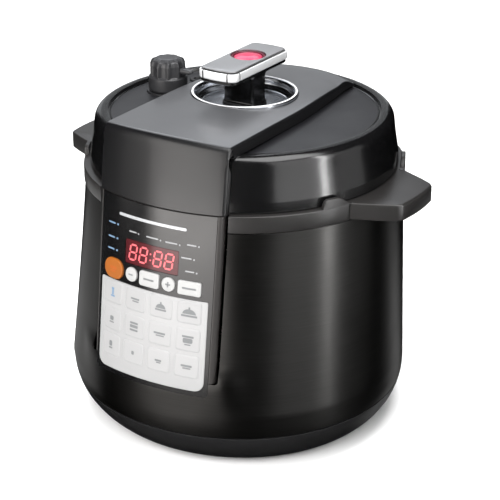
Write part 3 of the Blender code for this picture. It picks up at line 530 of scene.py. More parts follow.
def panel_point(s, v, h):
    out = (PANEL_CURVE + h) * math.cos(s / PANEL_CURVE) - PANEL_CURVE
    return Vector((
        (PANEL_CURVE + h) * math.sin(s / PANEL_CURVE),
        PANEL_Y + v * math.sin(LEAN) - out * math.cos(LEAN),
        COLLAR_TOP + v * math.cos(LEAN) + out * math.sin(LEAN),
    ))


def level_top(s, h, drop):
    """The v at which a point of the panel reaches the collar's level, less a drop."""
    out = (PANEL_CURVE + h) * math.cos(s / PANEL_CURVE) - PANEL_CURVE
    return -(drop + out * math.sin(LEAN)) / math.cos(LEAN)


def wrapped(name, work, pitch=0.0030):
    """Bends a flat mesh, drawn as (s, v, h), round the panel's cylinder."""
    places = [vert.co.x for vert in work.verts]
    across = math.ceil(min(places) / pitch) * pitch
    while across < max(places):
        geometry = work.verts[:] + work.edges[:] + work.faces[:]
        bmesh.ops.bisect_plane(work, geom=geometry, plane_co=(across, 0, 0), plane_no=(1, 0, 0), dist=1e-6)
        across += pitch
    for vert in work.verts:
        vert.co = panel_point(*vert.co)
    return to_object(name, work)


def on_panel(obj, s, v):
    """Moves a flat mesh, drawn about the origin, to stand square on the panel at (s, v)."""
    outwards = Vector((0, -math.cos(LEAN), math.sin(LEAN)))
    bearing = s / PANEL_CURVE
    across = Vector((math.cos(bearing), 0, 0)) - outwards * math.sin(bearing)
    normal = outwards * math.cos(bearing) + Vector((math.sin(bearing), 0, 0))
    up = Vector((0, math.sin(LEAN), math.cos(LEAN)))
    stand = Matrix.Translation(panel_point(s, v, 0)) @ Matrix((across, up, normal)).transposed().to_4x4()
    obj.data.transform(stand)
    return obj


def top_edge(half, steps=24):
    """The panel's top edge in (s, v), from right to left, level with the collar."""
    places = [half - 2 * half * i / steps for i in range(steps + 1)]
    return [(s, level_top(s, 0, 0.0003)) for s in places]


# ---------------------------------------------------------------- body


def make_body():
    levels = [SEAM + 0.0008 + (SHELL_TOP - SEAM - 0.0016) * i / 60 for i in range(61)]
    wall = 0.0012

    def profile(angle):
        outer = [(skin_radius(angle, level), level) for level in reversed(levels)]
        top = (outer[0][0] - 0.0008, SHELL_TOP)
        under = (outer[-1][0] - 0.0009, SEAM + 0.0002)
        inner = [(radius - wall, level) for radius, level in outer[::-1]]
        return [top] + outer + [under] + inner

    skin = lathe("body_skin", profile, segments=192)
    lower_half = FACE_HALF + 0.0002
    right = [(lower_half, PANEL_FOOT + 0.0013, 0.0042), (lower_half, GROOVE_END, 0.0006),
             (OPENING_HALF, GROOVE_END, 0.0030), (OPENING_HALF, 0.010, 0)]
    outline = fillet(right + [(-s, v, radius) for s, v, radius in reversed(right)])
    opening = wrapped("opening", flat_plate(outline, -0.016, 0.014))
    socket = pad("socket", 0.0151, 0.0122, 0.002, [(0, 0.12, 1), (0, 0.17, 1)], steps=4)
    swap_y_and_z = Matrix(((1, 0, 0), (0, 0, 1), (0, 1, 0))).to_4x4()
    socket.data.transform(Matrix.Translation((0, 0, middle("power_inlet")[2])) @ swap_y_and_z)
    carve(skin, opening, socket)
    put(skin, "dark_steel", "cooker_base", "dark_steel", "body_shell")


def make_base():
    """Moulded base with a bead under the seam, a groove above the sole and louvres in the sole."""
    levels = [SEAM - 0.0006 - (SEAM - 0.0006 - 0.0042) * (i / 30) for i in range(31)]

    def profile(angle):
        edge = body_radius(angle, SEAM - 0.0006)
        outer = [(edge - 0.0012, SEAM - 0.0003), (edge - 0.0003, SEAM - 0.0005)]
        outer += [(body_radius(angle, level), level) for level in levels]
        sole = body_radius(angle, levels[-1])
        outer += [(sole - 0.0022, FLOOR_GAP + 0.0003), (sole - 0.0040, FLOOR_GAP)]
        inner = [(sole - 0.0090, 0.0055), (sole + 0.0030, 0.0120)]
        inner += [(body_radius(angle, level) - 0.0026, level) for level in (0.020, 0.028, SEAM - 0.0003)]
        return outer + [(0.0, FLOOR_GAP), (0.0, 0.0055)] + inner

    base = lathe("base_pan", profile, segments=160)
    slots = []
    for ring, count in ((0.040, 10), (0.056, 14)):
        for index in range(count):
            angle = math.tau * (index + 0.5) / count
            rotation = Matrix.Rotation(angle, 2)
            corners = rounded_outline(0.0012, 0.0055, 0.0011, 3, (0.0, ring))
            outline = [rotation @ Vector((x, -y)) for x, y in corners]
            slots.append(plate_rings(outline, -0.001, 0.010))
    carve(base, solid("slots", *slots))
    put(base, "satin_black", "cooker_base", "satin_black", "base_cover")

    for index in range(4):
        node = f"rubber_foot_{index + 1}"
        centre = middle(node)[:2]
        radius = (high(node, 0) - low(node, 0)) / 2
        outline = [(0, 0.0006, 0), (0.004, 0.0006, 0.0004), (0.005, 0, 0.0004), (radius - 0.0022, 0, 0.0010),
                   (radius, 0.0018, 0.0008), (radius, high(node), 0.0002), (0, high(node), 0)]
        foot = lathe(f"foot_{index + 1}", fillet(outline, 4), centre, 40)
        put(foot, "rubber", "cooker_base", "rubber", node)


def collar_outline():
    """Plan outline of the collar's right half with its handle, from the front round to the rear."""
    root = HANDLE_ROOT
    corner = HANDLE_CORNER
    soft = 0.008
    wing = fillet([(*root, 0), (root[0], -root[1], 0), (corner[0], -corner[1], soft), (*corner, soft)], 8)
    wing = [point for point in wing if abs(point[1]) <= root[1] - 0.0001]
    side = []
    bow = HANDLE_REACH - corner[0]
    for x, y in wing:
        bowed = bow * max(1 - (y / corner[1]) ** 2, 0.0) if x > corner[0] - 0.001 else 0.0
        side.append((x + bowed, y))
    for share in (-0.45, -0.15, 0.15, 0.45):
        side.append((HANDLE_REACH - bow * share ** 2, corner[1] * share))
    steps = 6
    for index in range(steps):
        share = index / steps
        x = root[0] + (corner[0] - soft - root[0]) * share
        y = root[1] + (corner[1] + 0.0046 - root[1]) * share
        side += [(x, -y), (x, y)]
    side.sort(key=lambda point: point[1])
    return side


def make_collar():
    """The collar ring and handles as one moulding with soft edges, and its four raised pads."""
    outline = {}
    root_angle = math.atan2(*HANDLE_ROOT)
    for x, y in collar_outline():
        angle = math.atan2(x, -y)
        outline[angle] = math.hypot(x, y)
        outline[math.tau - angle] = math.hypot(x, y)
    steps = 40
    for index in range(steps + 1):
        angle = (root_angle - 0.01) * (2 * index / steps - 1)
        outline[angle % math.tau] = COLLAR_RADIUS
        outline[(angle + math.pi) % math.tau] = COLLAR_RADIUS
    angles = sorted(outline)
    bore = 0.1185

    def profile(angle):
        edge = outline[angle]
        wing = min(max((edge - COLLAR_RADIUS) / 0.006, 0.0), 1.0)
        soft = 0.0010 + 0.0012 * wing
        hollow = COLLAR_LOW + 0.0105 * wing
        thick = 0.0032
        inner = COLLAR_RADIUS - 0.0040
        return fillet([
            (bore, COLLAR_LOW, 0.0004),
            (bore, COLLAR_TOP, 0.0008),
            (edge, COLLAR_TOP, soft),
            (edge, COLLAR_LOW, 0.0008),
            (max(edge - thick, inner), COLLAR_LOW, 0.0004),
            (max(edge - thick, inner), max(hollow, COLLAR_LOW + 0.0001), 0.0004),
            (inner - 0.0002, max(hollow, COLLAR_LOW + 0.0001), 0.0004),
            (inner - 0.0002, COLLAR_LOW, 0.0002),
            (inner - 0.0030, COLLAR_LOW, 0.0002),
            (inner - 0.0030, COLLAR_TOP - 0.0030, 0.0008),
            (bore + 0.0030, COLLAR_TOP - 0.0030, 0.0008),
            (bore + 0.0030, COLLAR_LOW, 0.0002),
        ], 4)

    work = bmesh.new()
    add_lathe(work, profile, angles=angles)
    ring = to_object("collar_and_handles", work)
    half = OPENING_HALF
    corners = [(half, PANEL_FOOT), (half, 0.010), (-half, 0.010), (-half, PANEL_FOOT)]
    carve(ring, wrapped("notch", flat_plate(corners, -0.014, 0.014)))
    put(ring, "collar_grey", "cooker_base", "satin_black", "collar_with_side_handles")

    pads = []
    inner = 0.1392
    for front in (1, -1):
        for side in (1, -1):
            rings = []
            for share in [i / 14 for i in range(15)]:
                bearing = math.radians(59.2 + 12.5 * share)
                rise = min(smoothstep(share / 0.10), 1 - smoothstep((share - 0.45) / 0.55))
                rise *= PAD_TOP - COLLAR_TOP
                top = COLLAR_TOP + max(rise, 0.0003)
                soft = min(0.0008, rise * 0.3 + 0.0001)
                section = fillet([(inner, COLLAR_TOP - 0.0004, 0), (COLLAR_RADIUS, COLLAR_TOP - 0.0004, 0),
                                  (COLLAR_RADIUS, top, soft), (inner, top, soft)], 4)
                across = side * math.sin(bearing)
                along = -front * math.cos(bearing)
                rings.append([(across * r, along * r, z) for r, z in section])
            pads.append(rings)
    put(solid("collar_pads", *pads), "collar_grey", "cooker_base", "satin_black")


# ---------------------------------------------------------------- control panel


def flat_plate(outline, back, front):
    work = bmesh.new()
    add_rings(work, plate_rings(outline, back, front))
    return work


def make_housing():
    """The frame round the panel's face: flat in front, with a rounded flank down each side."""
    flank = [(HOUSING_HALF, -0.009), (HOUSING_HALF, -0.0068)]
    for step in range(1, 9):
        angle = math.pi / 2 * step / 8
        flank.append((HOUSING_HALF - 0.0050 + 0.0050 * math.cos(angle), -0.0068 + 0.0066 * math.sin(angle)))
    flank += [(FACE_HALF + 0.0003, -0.0004), (FACE_HALF + 0.0003, -0.0015)]
    steps = 40
    face = [(FACE_HALF * (1 - 2 * i / steps), -0.0015) for i in range(steps + 1)]
    section = flank + face + [(-s, h) for s, h in reversed(flank)]
    section += [(-HOUSING_HALF * (1 - 2 * i / steps), -0.009) for i in range(1, steps)]
    foot = [panel_point(s, PANEL_FOOT, h) for s, h in section]
    head = [panel_point(s, level_top(s, h, 0.0003), h) for s, h in section]
    housing = solid("panel_housing", [foot, head])

    window = rounded_outline(WINDOW_HALF + 0.001, 0.0116, 0.001, 3, WINDOW_CENTRE)
    cutters = [wrapped("well", flat_plate(window, -0.014, 0.003))]
    gap = 0.0005
    for _, half_x, half_y, radius, s, _ in BUTTONS:
        well = pad("well", half_x + gap, half_y + gap, radius + gap, [(0, -0.014, 1), (0, 0.004, 1)])
        cutters.append(on_panel(well, s, BUTTON_ROW))
    for side in (1, -1):
        inner = side * (FACE_HALF + 0.0001)
        outer = side * 0.072
        base = PANEL_FOOT - 0.010
        top = GROOVE_END + 0.0005
        corners = [(inner, base, 0), (inner, top, 0.0003), (outer, top, 0), (outer, base, 0)]
        cutters.append(wrapped("end", flat_plate(fillet(corners), -0.014, 0.006)))
    carve(housing, *cutters)
    put(housing, "housing_black", "cooker_base", "gloss_black", "control_housing")


def make_face():
    """The glossy face sheet, with its openings for the display, the keypad and the buttons."""
    outline = fillet([(-FACE_HALF, -0.1, 0), (-FACE_HALF, PANEL_FOOT + 0.0015, 0.004),
                      (FACE_HALF, PANEL_FOOT + 0.0015, 0.004), (FACE_HALF, -0.1, 0)], 6)
    outline = outline[1:-1] + top_edge(FACE_HALF)
    face = to_object("panel_glass", flat_plate(outline, -0.0012, 0.0))
    holes = [rounded_outline(WINDOW_HALF + 0.0002, 0.0108, 0.0012, 4, WINDOW_CENTRE), keypad_outline(-0.0003)]
    gap = 0.0004
    for _, half_x, half_y, radius, s, _ in BUTTONS:
        holes.append(rounded_outline(half_x + gap, half_y + gap, radius + gap, 8, (s, BUTTON_ROW)))
    carve(face, *(to_object("hole", flat_plate(hole, -0.004, 0.003)) for hole in holes))
    work = bmesh.new()
    work.from_mesh(face.data)
    bmesh.ops.triangulate(work, faces=work.faces[:])
    bpy.data.objects.remove(face)
    put(wrapped("panel_face_sheet", work), "panel_black", "cooker_base", "gloss_black", "panel_face")


def keypad_outline(inset):
    half = KEYPAD_HALF - inset
    base = KEYPAD_LOW + inset
    top = KEYPAD_HIGH - inset
    corners = [(-half, top, 0.0016), (-half, base, 0.0085), (half, base, 0.0085), (half, top, 0.0016)]
    return fillet(corners, 8)


# Name, half width, half height, corner radius, place across the panel and colour.
BUTTONS = (
    ("start", 0.0113, 0.0090, 0.0087, -0.0398, "orange"),
    ("minus", 0.0062, 0.0062, 0.0061, -0.0187, "white"),
    ("mode", 0.0100, 0.0066, 0.0025, 0.0003, "white"),
    ("plus", 0.0062, 0.0062, 0.0061, 0.0190, "white"),
    ("cancel", 0.0104, 0.0062, 0.0018, 0.0383, "white"),
)
KEY_COLUMNS = (-0.0395, -0.0132, 0.0131, 0.0394)
KEY_ROWS = (-0.0846, -0.1090, -0.1328)
MARK_LEVELS = (0.0007, 0.00093)

# Plain bars on each key: across, up, half width and half height in millimetres.
KEY_MARKS = {
    (0, 0): ((0, 3.0, 1.5, 1.0), (0, 0, 1.0, 2.6), (0, -3.6, 2.5, 0.8)),
    (1, 0): ((0, 0.6, 4.6, 0.8), (0.6, -1.6, 3.4, 0.6)),
    (2, 0): ((0, -2.8, 5.4, 0.8), (0, 3.4, 0.7, 0.9)),
    (3, 0): ((0, -3.0, 7.2, 0.9), (0, 3.8, 0.8, 1.0)),
    (0, 1): ((0, 0.6, 2.2, 2.0), (0, -3.0, 2.8, 0.6)),
    (1, 1): ((0, 3.2, 4.3, 0.9), (0, 0.2, 4.3, 1.3), (0, -3.2, 4.3, 0.9)),
    (2, 1): ((0, 0.8, 5.6, 0.9), (0.6, -1.4, 4.0, 0.6)),
    (3, 1): ((0, 3.0, 5.2, 0.9), (0, -0.6, 4.4, 2.2), (0, -4.2, 2.8, 0.6)),
    (0, 2): ((0, 1.2, 1.8, 2.4), (0, -2.8, 2.2, 0.8)),
    (1, 2): ((0, 0, 1.4, 1.7),),
    (2, 2): ((0, 0, 3.2, 0.9), (0.4, -1.9, 2.2, 0.6)),
    (3, 2): ((0, 0.6, 5.0, 1.0), (0.3, -1.6, 3.6, 0.7)),
}


def make_keypad():
    """The printed membrane, its twelve low keys and a plain mark on each."""
    work = bmesh.new()
    rings = []
    for inset, height in ((0.0003, -0.0011), (0, -0.0008), (0, 0.0002), (0.0001, 0.0004), (0.0004, 0.0005)):
        rings.append([(s, v, height) for s, v in keypad_outline(inset)])
    add_rings(work, rings)
    sheet = wrapped("keypad_membrane", work)
    put(sheet, "key_white", "cooker_base", "white", "keypad")

    work = bmesh.new()
    for v in KEY_ROWS:
        for s in KEY_COLUMNS:
            levels = [(0, 0.0003, 1), (0.0002, 0.00055, 1), (0.0008, 0.0008, 1), (0.0020, 0.00085, 1)]
            add_pad(work, 0.0112, 0.0102, 0.0030, levels, (s, v), 5)
    put(wrapped("keypad_keys", work), "key_white", "cooker_base", "white")

    marks = bmesh.new()
    blue = bmesh.new()
    for (column, row), bars in KEY_MARKS.items():
        for across, up, half_x, half_y in bars:
            centre = (KEY_COLUMNS[column] + across / 1000, KEY_ROWS[row] + up / 1000)
            work = blue if (column, row) == (0, 0) else marks
            add_bar(work, half_x / 1000, half_y / 1000, *MARK_LEVELS, centre)
    for column, width, height in ((2, 0.0046, 0.0040), (3, 0.0060, 0.0044)):
        dome = [(KEY_COLUMNS[column] + width * math.cos(math.pi * i / 12),
                 KEY_ROWS[0] - 0.0014 + height * math.sin(math.pi * i / 12)) for i in range(13)]
        add_rings(marks, plate_rings(dome, *MARK_LEVELS))
    put(wrapped("keypad_marks", marks, 0.004), "print_grey", "cooker_base", "white")
    put(wrapped("keypad_blue_mark", blue, 0.004), "print_blue", "cooker_base", "white")


def make_buttons():
    """The five push buttons with a plain symbol on each."""
    symbols = {
        "start": ((0.0004, 0.0008, 0.0042, 0.0013), (0, -0.0022, 0.0030, 0.0008)),
        "minus": ((0, 0, 0.0024, 0.0007),),
        "mode": ((0, 0, 0.0052, 0.0008),),
        "plus": ((0, 0, 0.0024, 0.0007), (0, 0, 0.0007, 0.0024)),
        "cancel": ((0, 0, 0.0062, 0.0008),),
    }
    for name, half_x, half_y, radius, s, colour in BUTTONS:
        body = f"{name}_key"
        levels = soft_levels(-0.0085, 0.0016, 0.0007, 0.0003)
        cap = on_panel(pad(f"{name}_cap", half_x, half_y, radius, levels), s, BUTTON_ROW)
        put(cap, colour, body, colour, f"{name}_button")
        work = bmesh.new()
        for across, up, bar_x, bar_y in symbols[name]:
            add_bar(work, bar_x, bar_y, 0.0011, 0.00166, (across, up))
        mark = on_panel(to_object(f"{name}_mark", work), s, BUTTON_ROW)
        put(mark, "print_orange" if colour == "orange" else "print_grey", body, colour)


def add_digit(work, centre, size, depth):
    """Adds a slanted seven-segment digit with all its segments lit."""
    width = size * 0.27
    height = size * 0.5
    thick = size * 0.060
    slant = 0.14
    segments = [(0, y, True) for y in (height, 0, -height)]
    segments += [(x, y, False) for y in (height / 2, -height / 2) for x in (-width, width)]
    for x, y, flat in segments:
        long = (width if flat else height / 2) * 0.86
        ends = [(-long, 0), (-long + thick, thick), (long - thick, thick), (long, 0), (long - thick, -thick),
                (-long + thick, -thick)]
        if not flat:
            ends = [(b, a) for a, b in ends]
        outline = [(centre[0] + x + a + slant * (y + b), centre[1] + y + b) for a, b in ends]
        add_rings(work, plate_rings(outline, *depth))


def make_display():
    """Tinted window, four lit digits with their colon, and the plain marks and lamps round the window."""
    work = bmesh.new()
    levels = [(0, -0.0011, 1), (0, -0.0004, 1), (0.0002, -0.0002, 1)]
    add_pad(work, WINDOW_HALF, 0.0106, 0.0010, levels, WINDOW_CENTRE, 4)
    put(wrapped("display_pane", work), "display_red", "cooker_base", "display_red", "display_window")

    work = bmesh.new()
    depth = (-0.0003, -0.0001)
    for s in (-0.0185, -0.0075, 0.0072, 0.0182):
        add_digit(work, (s, WINDOW_CENTRE[1]), 0.0132, depth)
    for v in (-0.0026, 0.0026):
        add_bar(work, 0.0007, 0.0007, *depth, (0.0, WINDOW_CENTRE[1] + v), bevel=0.00002)
    put(wrapped("display_digits", work), "lit_segment", "cooker_base", "display_red")

    work = bmesh.new()
    for s, v, half in ((0.0380, -0.0262, 0.0042), (0.0340, -0.0380, 0.0046), (0.0375, -0.0492, 0.0040),
                       (0.0010, -0.0268, 0.0060), (0.0195, -0.0274, 0.0056), (-0.0195, -0.0262, 0.0040)):
        add_bar(work, half, 0.0006, -0.0001, 0.00010, (s, v), bevel=0.00003)
        add_bar(work, 0.0007, 0.0007, -0.0001, 0.00010, (s + half + 0.0022, v - 0.0004), bevel=0.00003)
    put(wrapped("panel_marks", work), "print_pale", "cooker_base", "gloss_black")
    work = bmesh.new()
    for v in (-0.0240, -0.0365, -0.0470):
        add_bar(work, 0.0042, 0.0007, -0.0001, 0.00010, (-0.0450, v), bevel=0.00003)
        add_bar(work, 0.0009, 0.0009, -0.0001, 0.00030, (-0.0375, v), bevel=0.0001)
    put(wrapped("panel_lamps", work), "print_blue", "cooker_base", "gloss_black")
    work = bmesh.new()
    add_pad(work, 0.0345, 0.0013, 0.0012, soft_levels(-0.0001, 0.0004, 0.0002), (-0.0015, -0.0137))
    put(wrapped("panel_trim_bar", work), "trim_silver", "cooker_base", "gloss_black")


# ---------------------------------------------------------------- lid


def make_lid():
    """The outer lid: skirt, rolled rim, groove and domed disc, with a hole for the float pin."""
    wall = 0.0022
    roll = 0.0090
    roll_end = math.sin(math.radians(72))
    rim = []
    for step in range(9):
        angle = math.radians(9 * step)
        soft = 0.0003 if step == 8 else 0
        rim.append((0.1232 + roll * math.cos(angle), RIM_TOP - roll * (roll_end - math.sin(angle)), soft))
    outline = fillet([
        (LID_RADIUS - 0.0004, LID_LOW, 0.0004),
        (LID_RADIUS, LID_LOW + 0.0010, 0.0006),
        (LID_RADIUS - 0.0005, LID_LOW + 0.0090, 0.0040),
        (0.1336, 0.2640, 0.0200),
        *rim,
        (0.1206, RIM_TOP, 0.0002),
        (0.1198, 0.2806, 0.0004),
        (0.1186, 0.2804, 0.0004),
        (0.1180, 0.2812, 0.0005),
        (0.0700, 0.2823, 0.0500),
        (0.0, 0.2826, 0),
        (0.0, 0.2795, 0),
        (0.1180, 0.2780, 0.001),
        (0.1270, 0.2770, 0.004),
        (0.1310, 0.2640, 0.010),
        (LID_RADIUS - wall, LID_LOW, 0.0005),
    ], 6)
    cover = lathe("lid_cover", outline, segments=192)
    carve(cover, plug(*FLOAT_WELL))
    put(cover, "gloss_black", "lid", "gloss_black", "lid_shell")
    disc = turned_part("lid_top_disc", RIM_TOP, [
        (0, -1.6, 0), (70, -1.8, 50), (117.4, -3, 0.4), (117.4, -2.5, 0.4), (70, -1.15, 50), (0, -0.8, 0),
    ], segments=192, steps=6)
    carve(disc, plug(*FLOAT_WELL))
    put(disc, "lid_disc", "lid", "gloss_black")


def bridge_height(y):
    return BRIDGE_CROWN - (0.03 if y < 0.010 else 0.55) * (y - 0.010) ** 2


def bridge_path():
    """Side view of the bridge's outer surface, from the front seam over the top to the rear rim."""
    path = []
    front_low = LID_LOW + 0.0005
    front_top = 0.2885
    for index in range(15):
        z = front_low + (front_top - front_low) * index / 14
        path.append((PANEL_Y + PANEL_SLOPE * (z - COLLAR_TOP), z))
    start = Vector(path[-1])
    end_y = -0.1275
    end = Vector((end_y, bridge_height(end_y)))
    corner = Vector((PANEL_Y + PANEL_SLOPE * (end.y - COLLAR_TOP) + 0.0004, end.y + 0.0006))
    for index in range(1, 12):
        t = index / 12
        point = start * (1 - t) ** 2 + corner * (2 * t * (1 - t)) + end * t ** 2
        path.append((point.x, point.y))
    fall = 0.078
    for index in range(33):
        y = end_y + (fall - end_y) * index / 32
        path.append((y, bridge_height(y)))
    rear = 0.1255
    foot = RIM_TOP + 0.0007
    slope = -1.1 * (fall - 0.010)
    for index in range(1, 17):
        share = index / 16
        line = bridge_height(fall) + slope * (rear - fall) * share
        bend = (bridge_height(fall) + slope * (rear - fall) - foot) * share ** 2.6
        path.append((fall + (rear - fall) * share, line - bend))
    return path


def curve_sag(radius, x):
    return radius - math.sqrt(radius ** 2 - x * x)


def make_bridge():
    """The raised band: a sheet bent over the lid, with soft shoulders and a side wall down to the lid."""
    path = bridge_path()
    skin = 0.0024
    shoulder = 0.0022
    arch = 0.0042
    floor = RIM_TOP - 0.0004

    def bow(x, y):
        """How far a point lies behind the middle one, as the front follows the panel and the rear the rim."""
        front = smoothstep((-0.058 - y) / 0.060) / math.cos(LEAN)
        rear = smoothstep((y - 0.055) / 0.070)
        return curve_sag(PANEL_CURVE, x) * front - curve_sag(0.1120, x) * rear

    rings = []
    last = len(path) - 1
    for index, (y, z) in enumerate(path):
        ahead = Vector(path[min(index + 1, last)])
        behind = Vector(path[max(index - 1, 0)])
        along = (ahead - behind).normalized()
        inward = Vector((along.y, -along.x))
        rise = smoothstep((z - 0.272) / 0.014)
        drop = arch * smoothstep((z - 0.262) / 0.027) * (1 - smoothstep((y - 0.070) / 0.045))
        depth = 0.0060 * (1 - rise) + rise * max(z - floor - drop, 0.0008)
        soft = min(shoulder, depth)
        crown = 0.0003 * rise
        narrow = 1 - 0.17 * smoothstep((y + 0.020) / 0.140)
        outer = [(BRIDGE_HALF, depth)]
        for step in range(9):
            angle = math.pi / 2 * step / 8
            outer.append((BRIDGE_HALF - soft * (1 - math.cos(angle)), soft * (1 - math.sin(angle)) + crown))
        flat = BRIDGE_HALF - soft
        steps = 24
        for step in range(1, steps // 2 + 1):
            x = flat * (1 - 2 * step / steps)
            outer.append((x, crown * (x / flat) ** 2))
        outer += [(-x, d) for x, d in reversed(outer[:-1])]
        inner_depth = min(skin, depth)
        inside = BRIDGE_HALF - 0.0022
        inner = [(-inside, depth), (-inside + 0.0004, min(inner_depth + soft * 0.6, depth)),
                 (-inside + soft, inner_depth + crown)]
        for step in range(1, steps):
            x = -(inside - soft) + 2 * (inside - soft) * step / steps
            inner.append((x, inner_depth + crown * (x / flat) ** 2))
        inner += [(inside - soft, inner_depth + crown),
                  (inside - 0.0004, min(inner_depth + soft * 0.6, depth)), (inside, depth)]
        ring = []
        for x, d in outer + inner:
            fall = drop * min(abs(x) / BRIDGE_HALF, 1) ** 2
            ring.append((x * narrow, y + bow(x, y) + inward.x * d, z + inward.y * d - fall))
        rings.append(ring)
    band = solid("lid_band", rings)
    carve(band, plug(DISH_RADIUS + 0.0002, 0.2848, 0.31, segments=128))
    put(band, "band_black", "lid", "gloss_black", "lid_bridge")


def make_dish():
    """The bright bowl, with a rounded rim and a step round its floor."""
    bowl = turned_part("dish_bowl", DISH_TOP, [
        (3.6, -11.95, 0), (36, -11.95, 4), (45.2, -5.65, 3), (47.4, -2.45, 0.6), (47.4, 0, 1), (44.2, 0, 1.2),
        (43, -2.45, 1.2), (42.5, -6.15, 4), (38.5, -10.25, 3), (3.6, -10.65, 0),
    ], segments=160, steps=6)
    put(bowl, "chrome", "lid", "chrome", "handle_dish")
    corners = [(44.8, -0.8, 0), (46.8, -0.8, 0), (46.8, 0.4, 0.6), (44.8, 0.4, 0.6)]
    put(turned_part("dish_bead", DISH_TOP, corners, segments=160), "satin_chrome", "lid", "chrome")


def make_pedestal():
    """The dark post between the dish and the handle, with a wider foot and a bolt hole."""
    base = low("handle_pedestal")
    top = high("handle_pedestal")
    waist = 0.0016
    levels = [(0.0, base, 1), (0.0, base + waist, 1)]
    for step in range(1, 6):
        angle = math.pi / 2 * step / 5
        levels.append((waist * math.sin(angle), base + waist + 0.0030 * (1 - math.cos(angle)), 1))
    levels += [(waist, top - 0.0040, 1), (0.0010, top - 0.0015, 1), (0.0002, top, 1)]
    post = pad("pedestal", high("handle_pedestal", 0), high("handle_pedestal", 1), 0.005, levels)
    carve(post, plug(0.0034, base - 0.001, top - 0.0119, segments=24))
    put(post, "post_black", "lid", "satin_black", "handle_pedestal")


def bar_loft(name, levels):
    """A solid with the handle bar's plan at each (inset, height): round corners and slightly bowed ends."""
    corner = 0.0076
    centre_y = (BAR_FRONT + BAR_REAR) / 2
    rings = []
    for inset, height in levels:
        half = BAR_HALF - inset
        long = (BAR_REAR - BAR_FRONT) / 2 - inset
        bowed = long - 0.0016
        soft = corner - inset
        corners = [(half, bowed, soft), (0.0, long, 0.05), (-half, bowed, soft),
                   (-half, -bowed, soft), (0.0, -long, 0.05), (half, -bowed, soft)]
        rings.append([(x, centre_y + y, height) for x, y in fillet(corners, 8)])
    return solid(name, rings)


def make_handle():
    """Bright frame with black bars at its corners as painted reflections and a black band under it as painted
    shade, and the silver top with its dark line.
    """
    rim = high("handle_frame") - 0.0016
    wall = 0.0016
    soft = 0.0018
    levels = [(soft, BAR_LOW)]
    for step in range(1, 7):
        angle = math.pi / 2 * step / 6
        levels.append((soft * (1 - math.sin(angle)), BAR_LOW + soft * (1 - math.cos(angle))))
    levels += [(0.0, rim - 0.0008), (0.00015, rim - 0.0003), (0.0006, rim), (wall - 0.0005, rim),
               (wall, rim - 0.0004), (wall, PLATE_LOW - 0.0003), (wall + 0.0012, PLATE_LOW - 0.0009),
               (wall + 0.0020, BAR_LOW + 0.0022)]
    put(bar_loft("handle_chrome", levels), "satin_chrome", "lid", "chrome", "handle_frame")

    # Painted reflection: thin black bars at the frame's rounded corners stand for the dark reflections seen
    # there.
    work = bmesh.new()
    seam = 0.00045
    base = BAR_LOW + 0.0004
    for side in (1, -1):
        add_bar(work, seam, 0.0012, base, rim, (side * (BAR_HALF - 0.0072), BAR_FRONT + 0.0013))
        add_bar(work, 0.0012, seam * 1.5, base, rim, (side * (BAR_HALF - 0.00115), BAR_FRONT + 0.0098))
    put(to_object("painted_corner_reflections", work), "post_black", "lid", "chrome")

    # Painted shade: the frame's lowest band is drawn black for the shadow under the chrome sides.
    under = low("handle_frame")
    levels = [(0.0030, under), (0.0018, under + 0.0006), (0.0012, under + 0.0014), (0.0012, BAR_LOW + 0.0008),
              (0.0040, BAR_LOW + 0.0016)]
    put(bar_loft("handle_painted_shade", levels), "post_black", "lid", "chrome")

    inset = wall + 0.0003
    levels = [(inset, PLATE_LOW + 0.0001), (inset, BAR_TOP - 0.0010), (wall + 0.0012, BAR_TOP - 0.0008)]
    edge = carve(bar_loft("handle_plate_edge", levels), plug(*BUTTON_WELL))
    put(edge, "post_black", "lid", "silver_paint", "handle_top")
    inset = wall + 0.0004
    levels = [(inset + 0.0006, BAR_TOP - 0.0014), (inset, BAR_TOP - 0.0009)]
    levels += [(inset + 0.0002, BAR_TOP - 0.0005), (inset + 0.0007, BAR_TOP - 0.0002)]
    levels.append((inset + 0.0016, BAR_TOP))
    plate = carve(bar_loft("handle_plate", levels), plug(*BUTTON_WELL))
    put(plate, "silver_paint", "lid", "silver_paint")


def make_red_button():
    """The red lid release button in its ring."""
    ring = turned_part("button_ring", PLATE_LOW, [
        (13.7, 0.1, 0), (15.6, 0.1, 0), (15.6, 2.2, 0.6), (13.4, 2.2, 0.5), (12.6, 0.8, 0.3), (13.7, 0.8, 0),
    ], RED_BUTTON)
    put(ring, "ring_red", "lid", "satin_black", "release_button_ring")
    cap = turned_part("red_button_cap", PLATE_LOW, [
        (10, -1.6, 0), (13.3, -1.6, 0), (13.3, 0.1, 0.4), (12.4, 0.5, 0.3), (12.4, 1.7, 1.6), (6, 3.5, 14),
        (0, 3.5, 0), (0, -0.7, 0), (10, -0.7, 0),
    ], RED_BUTTON)
    put(cap, "red", "lid_button", "red", "lid_release_button")


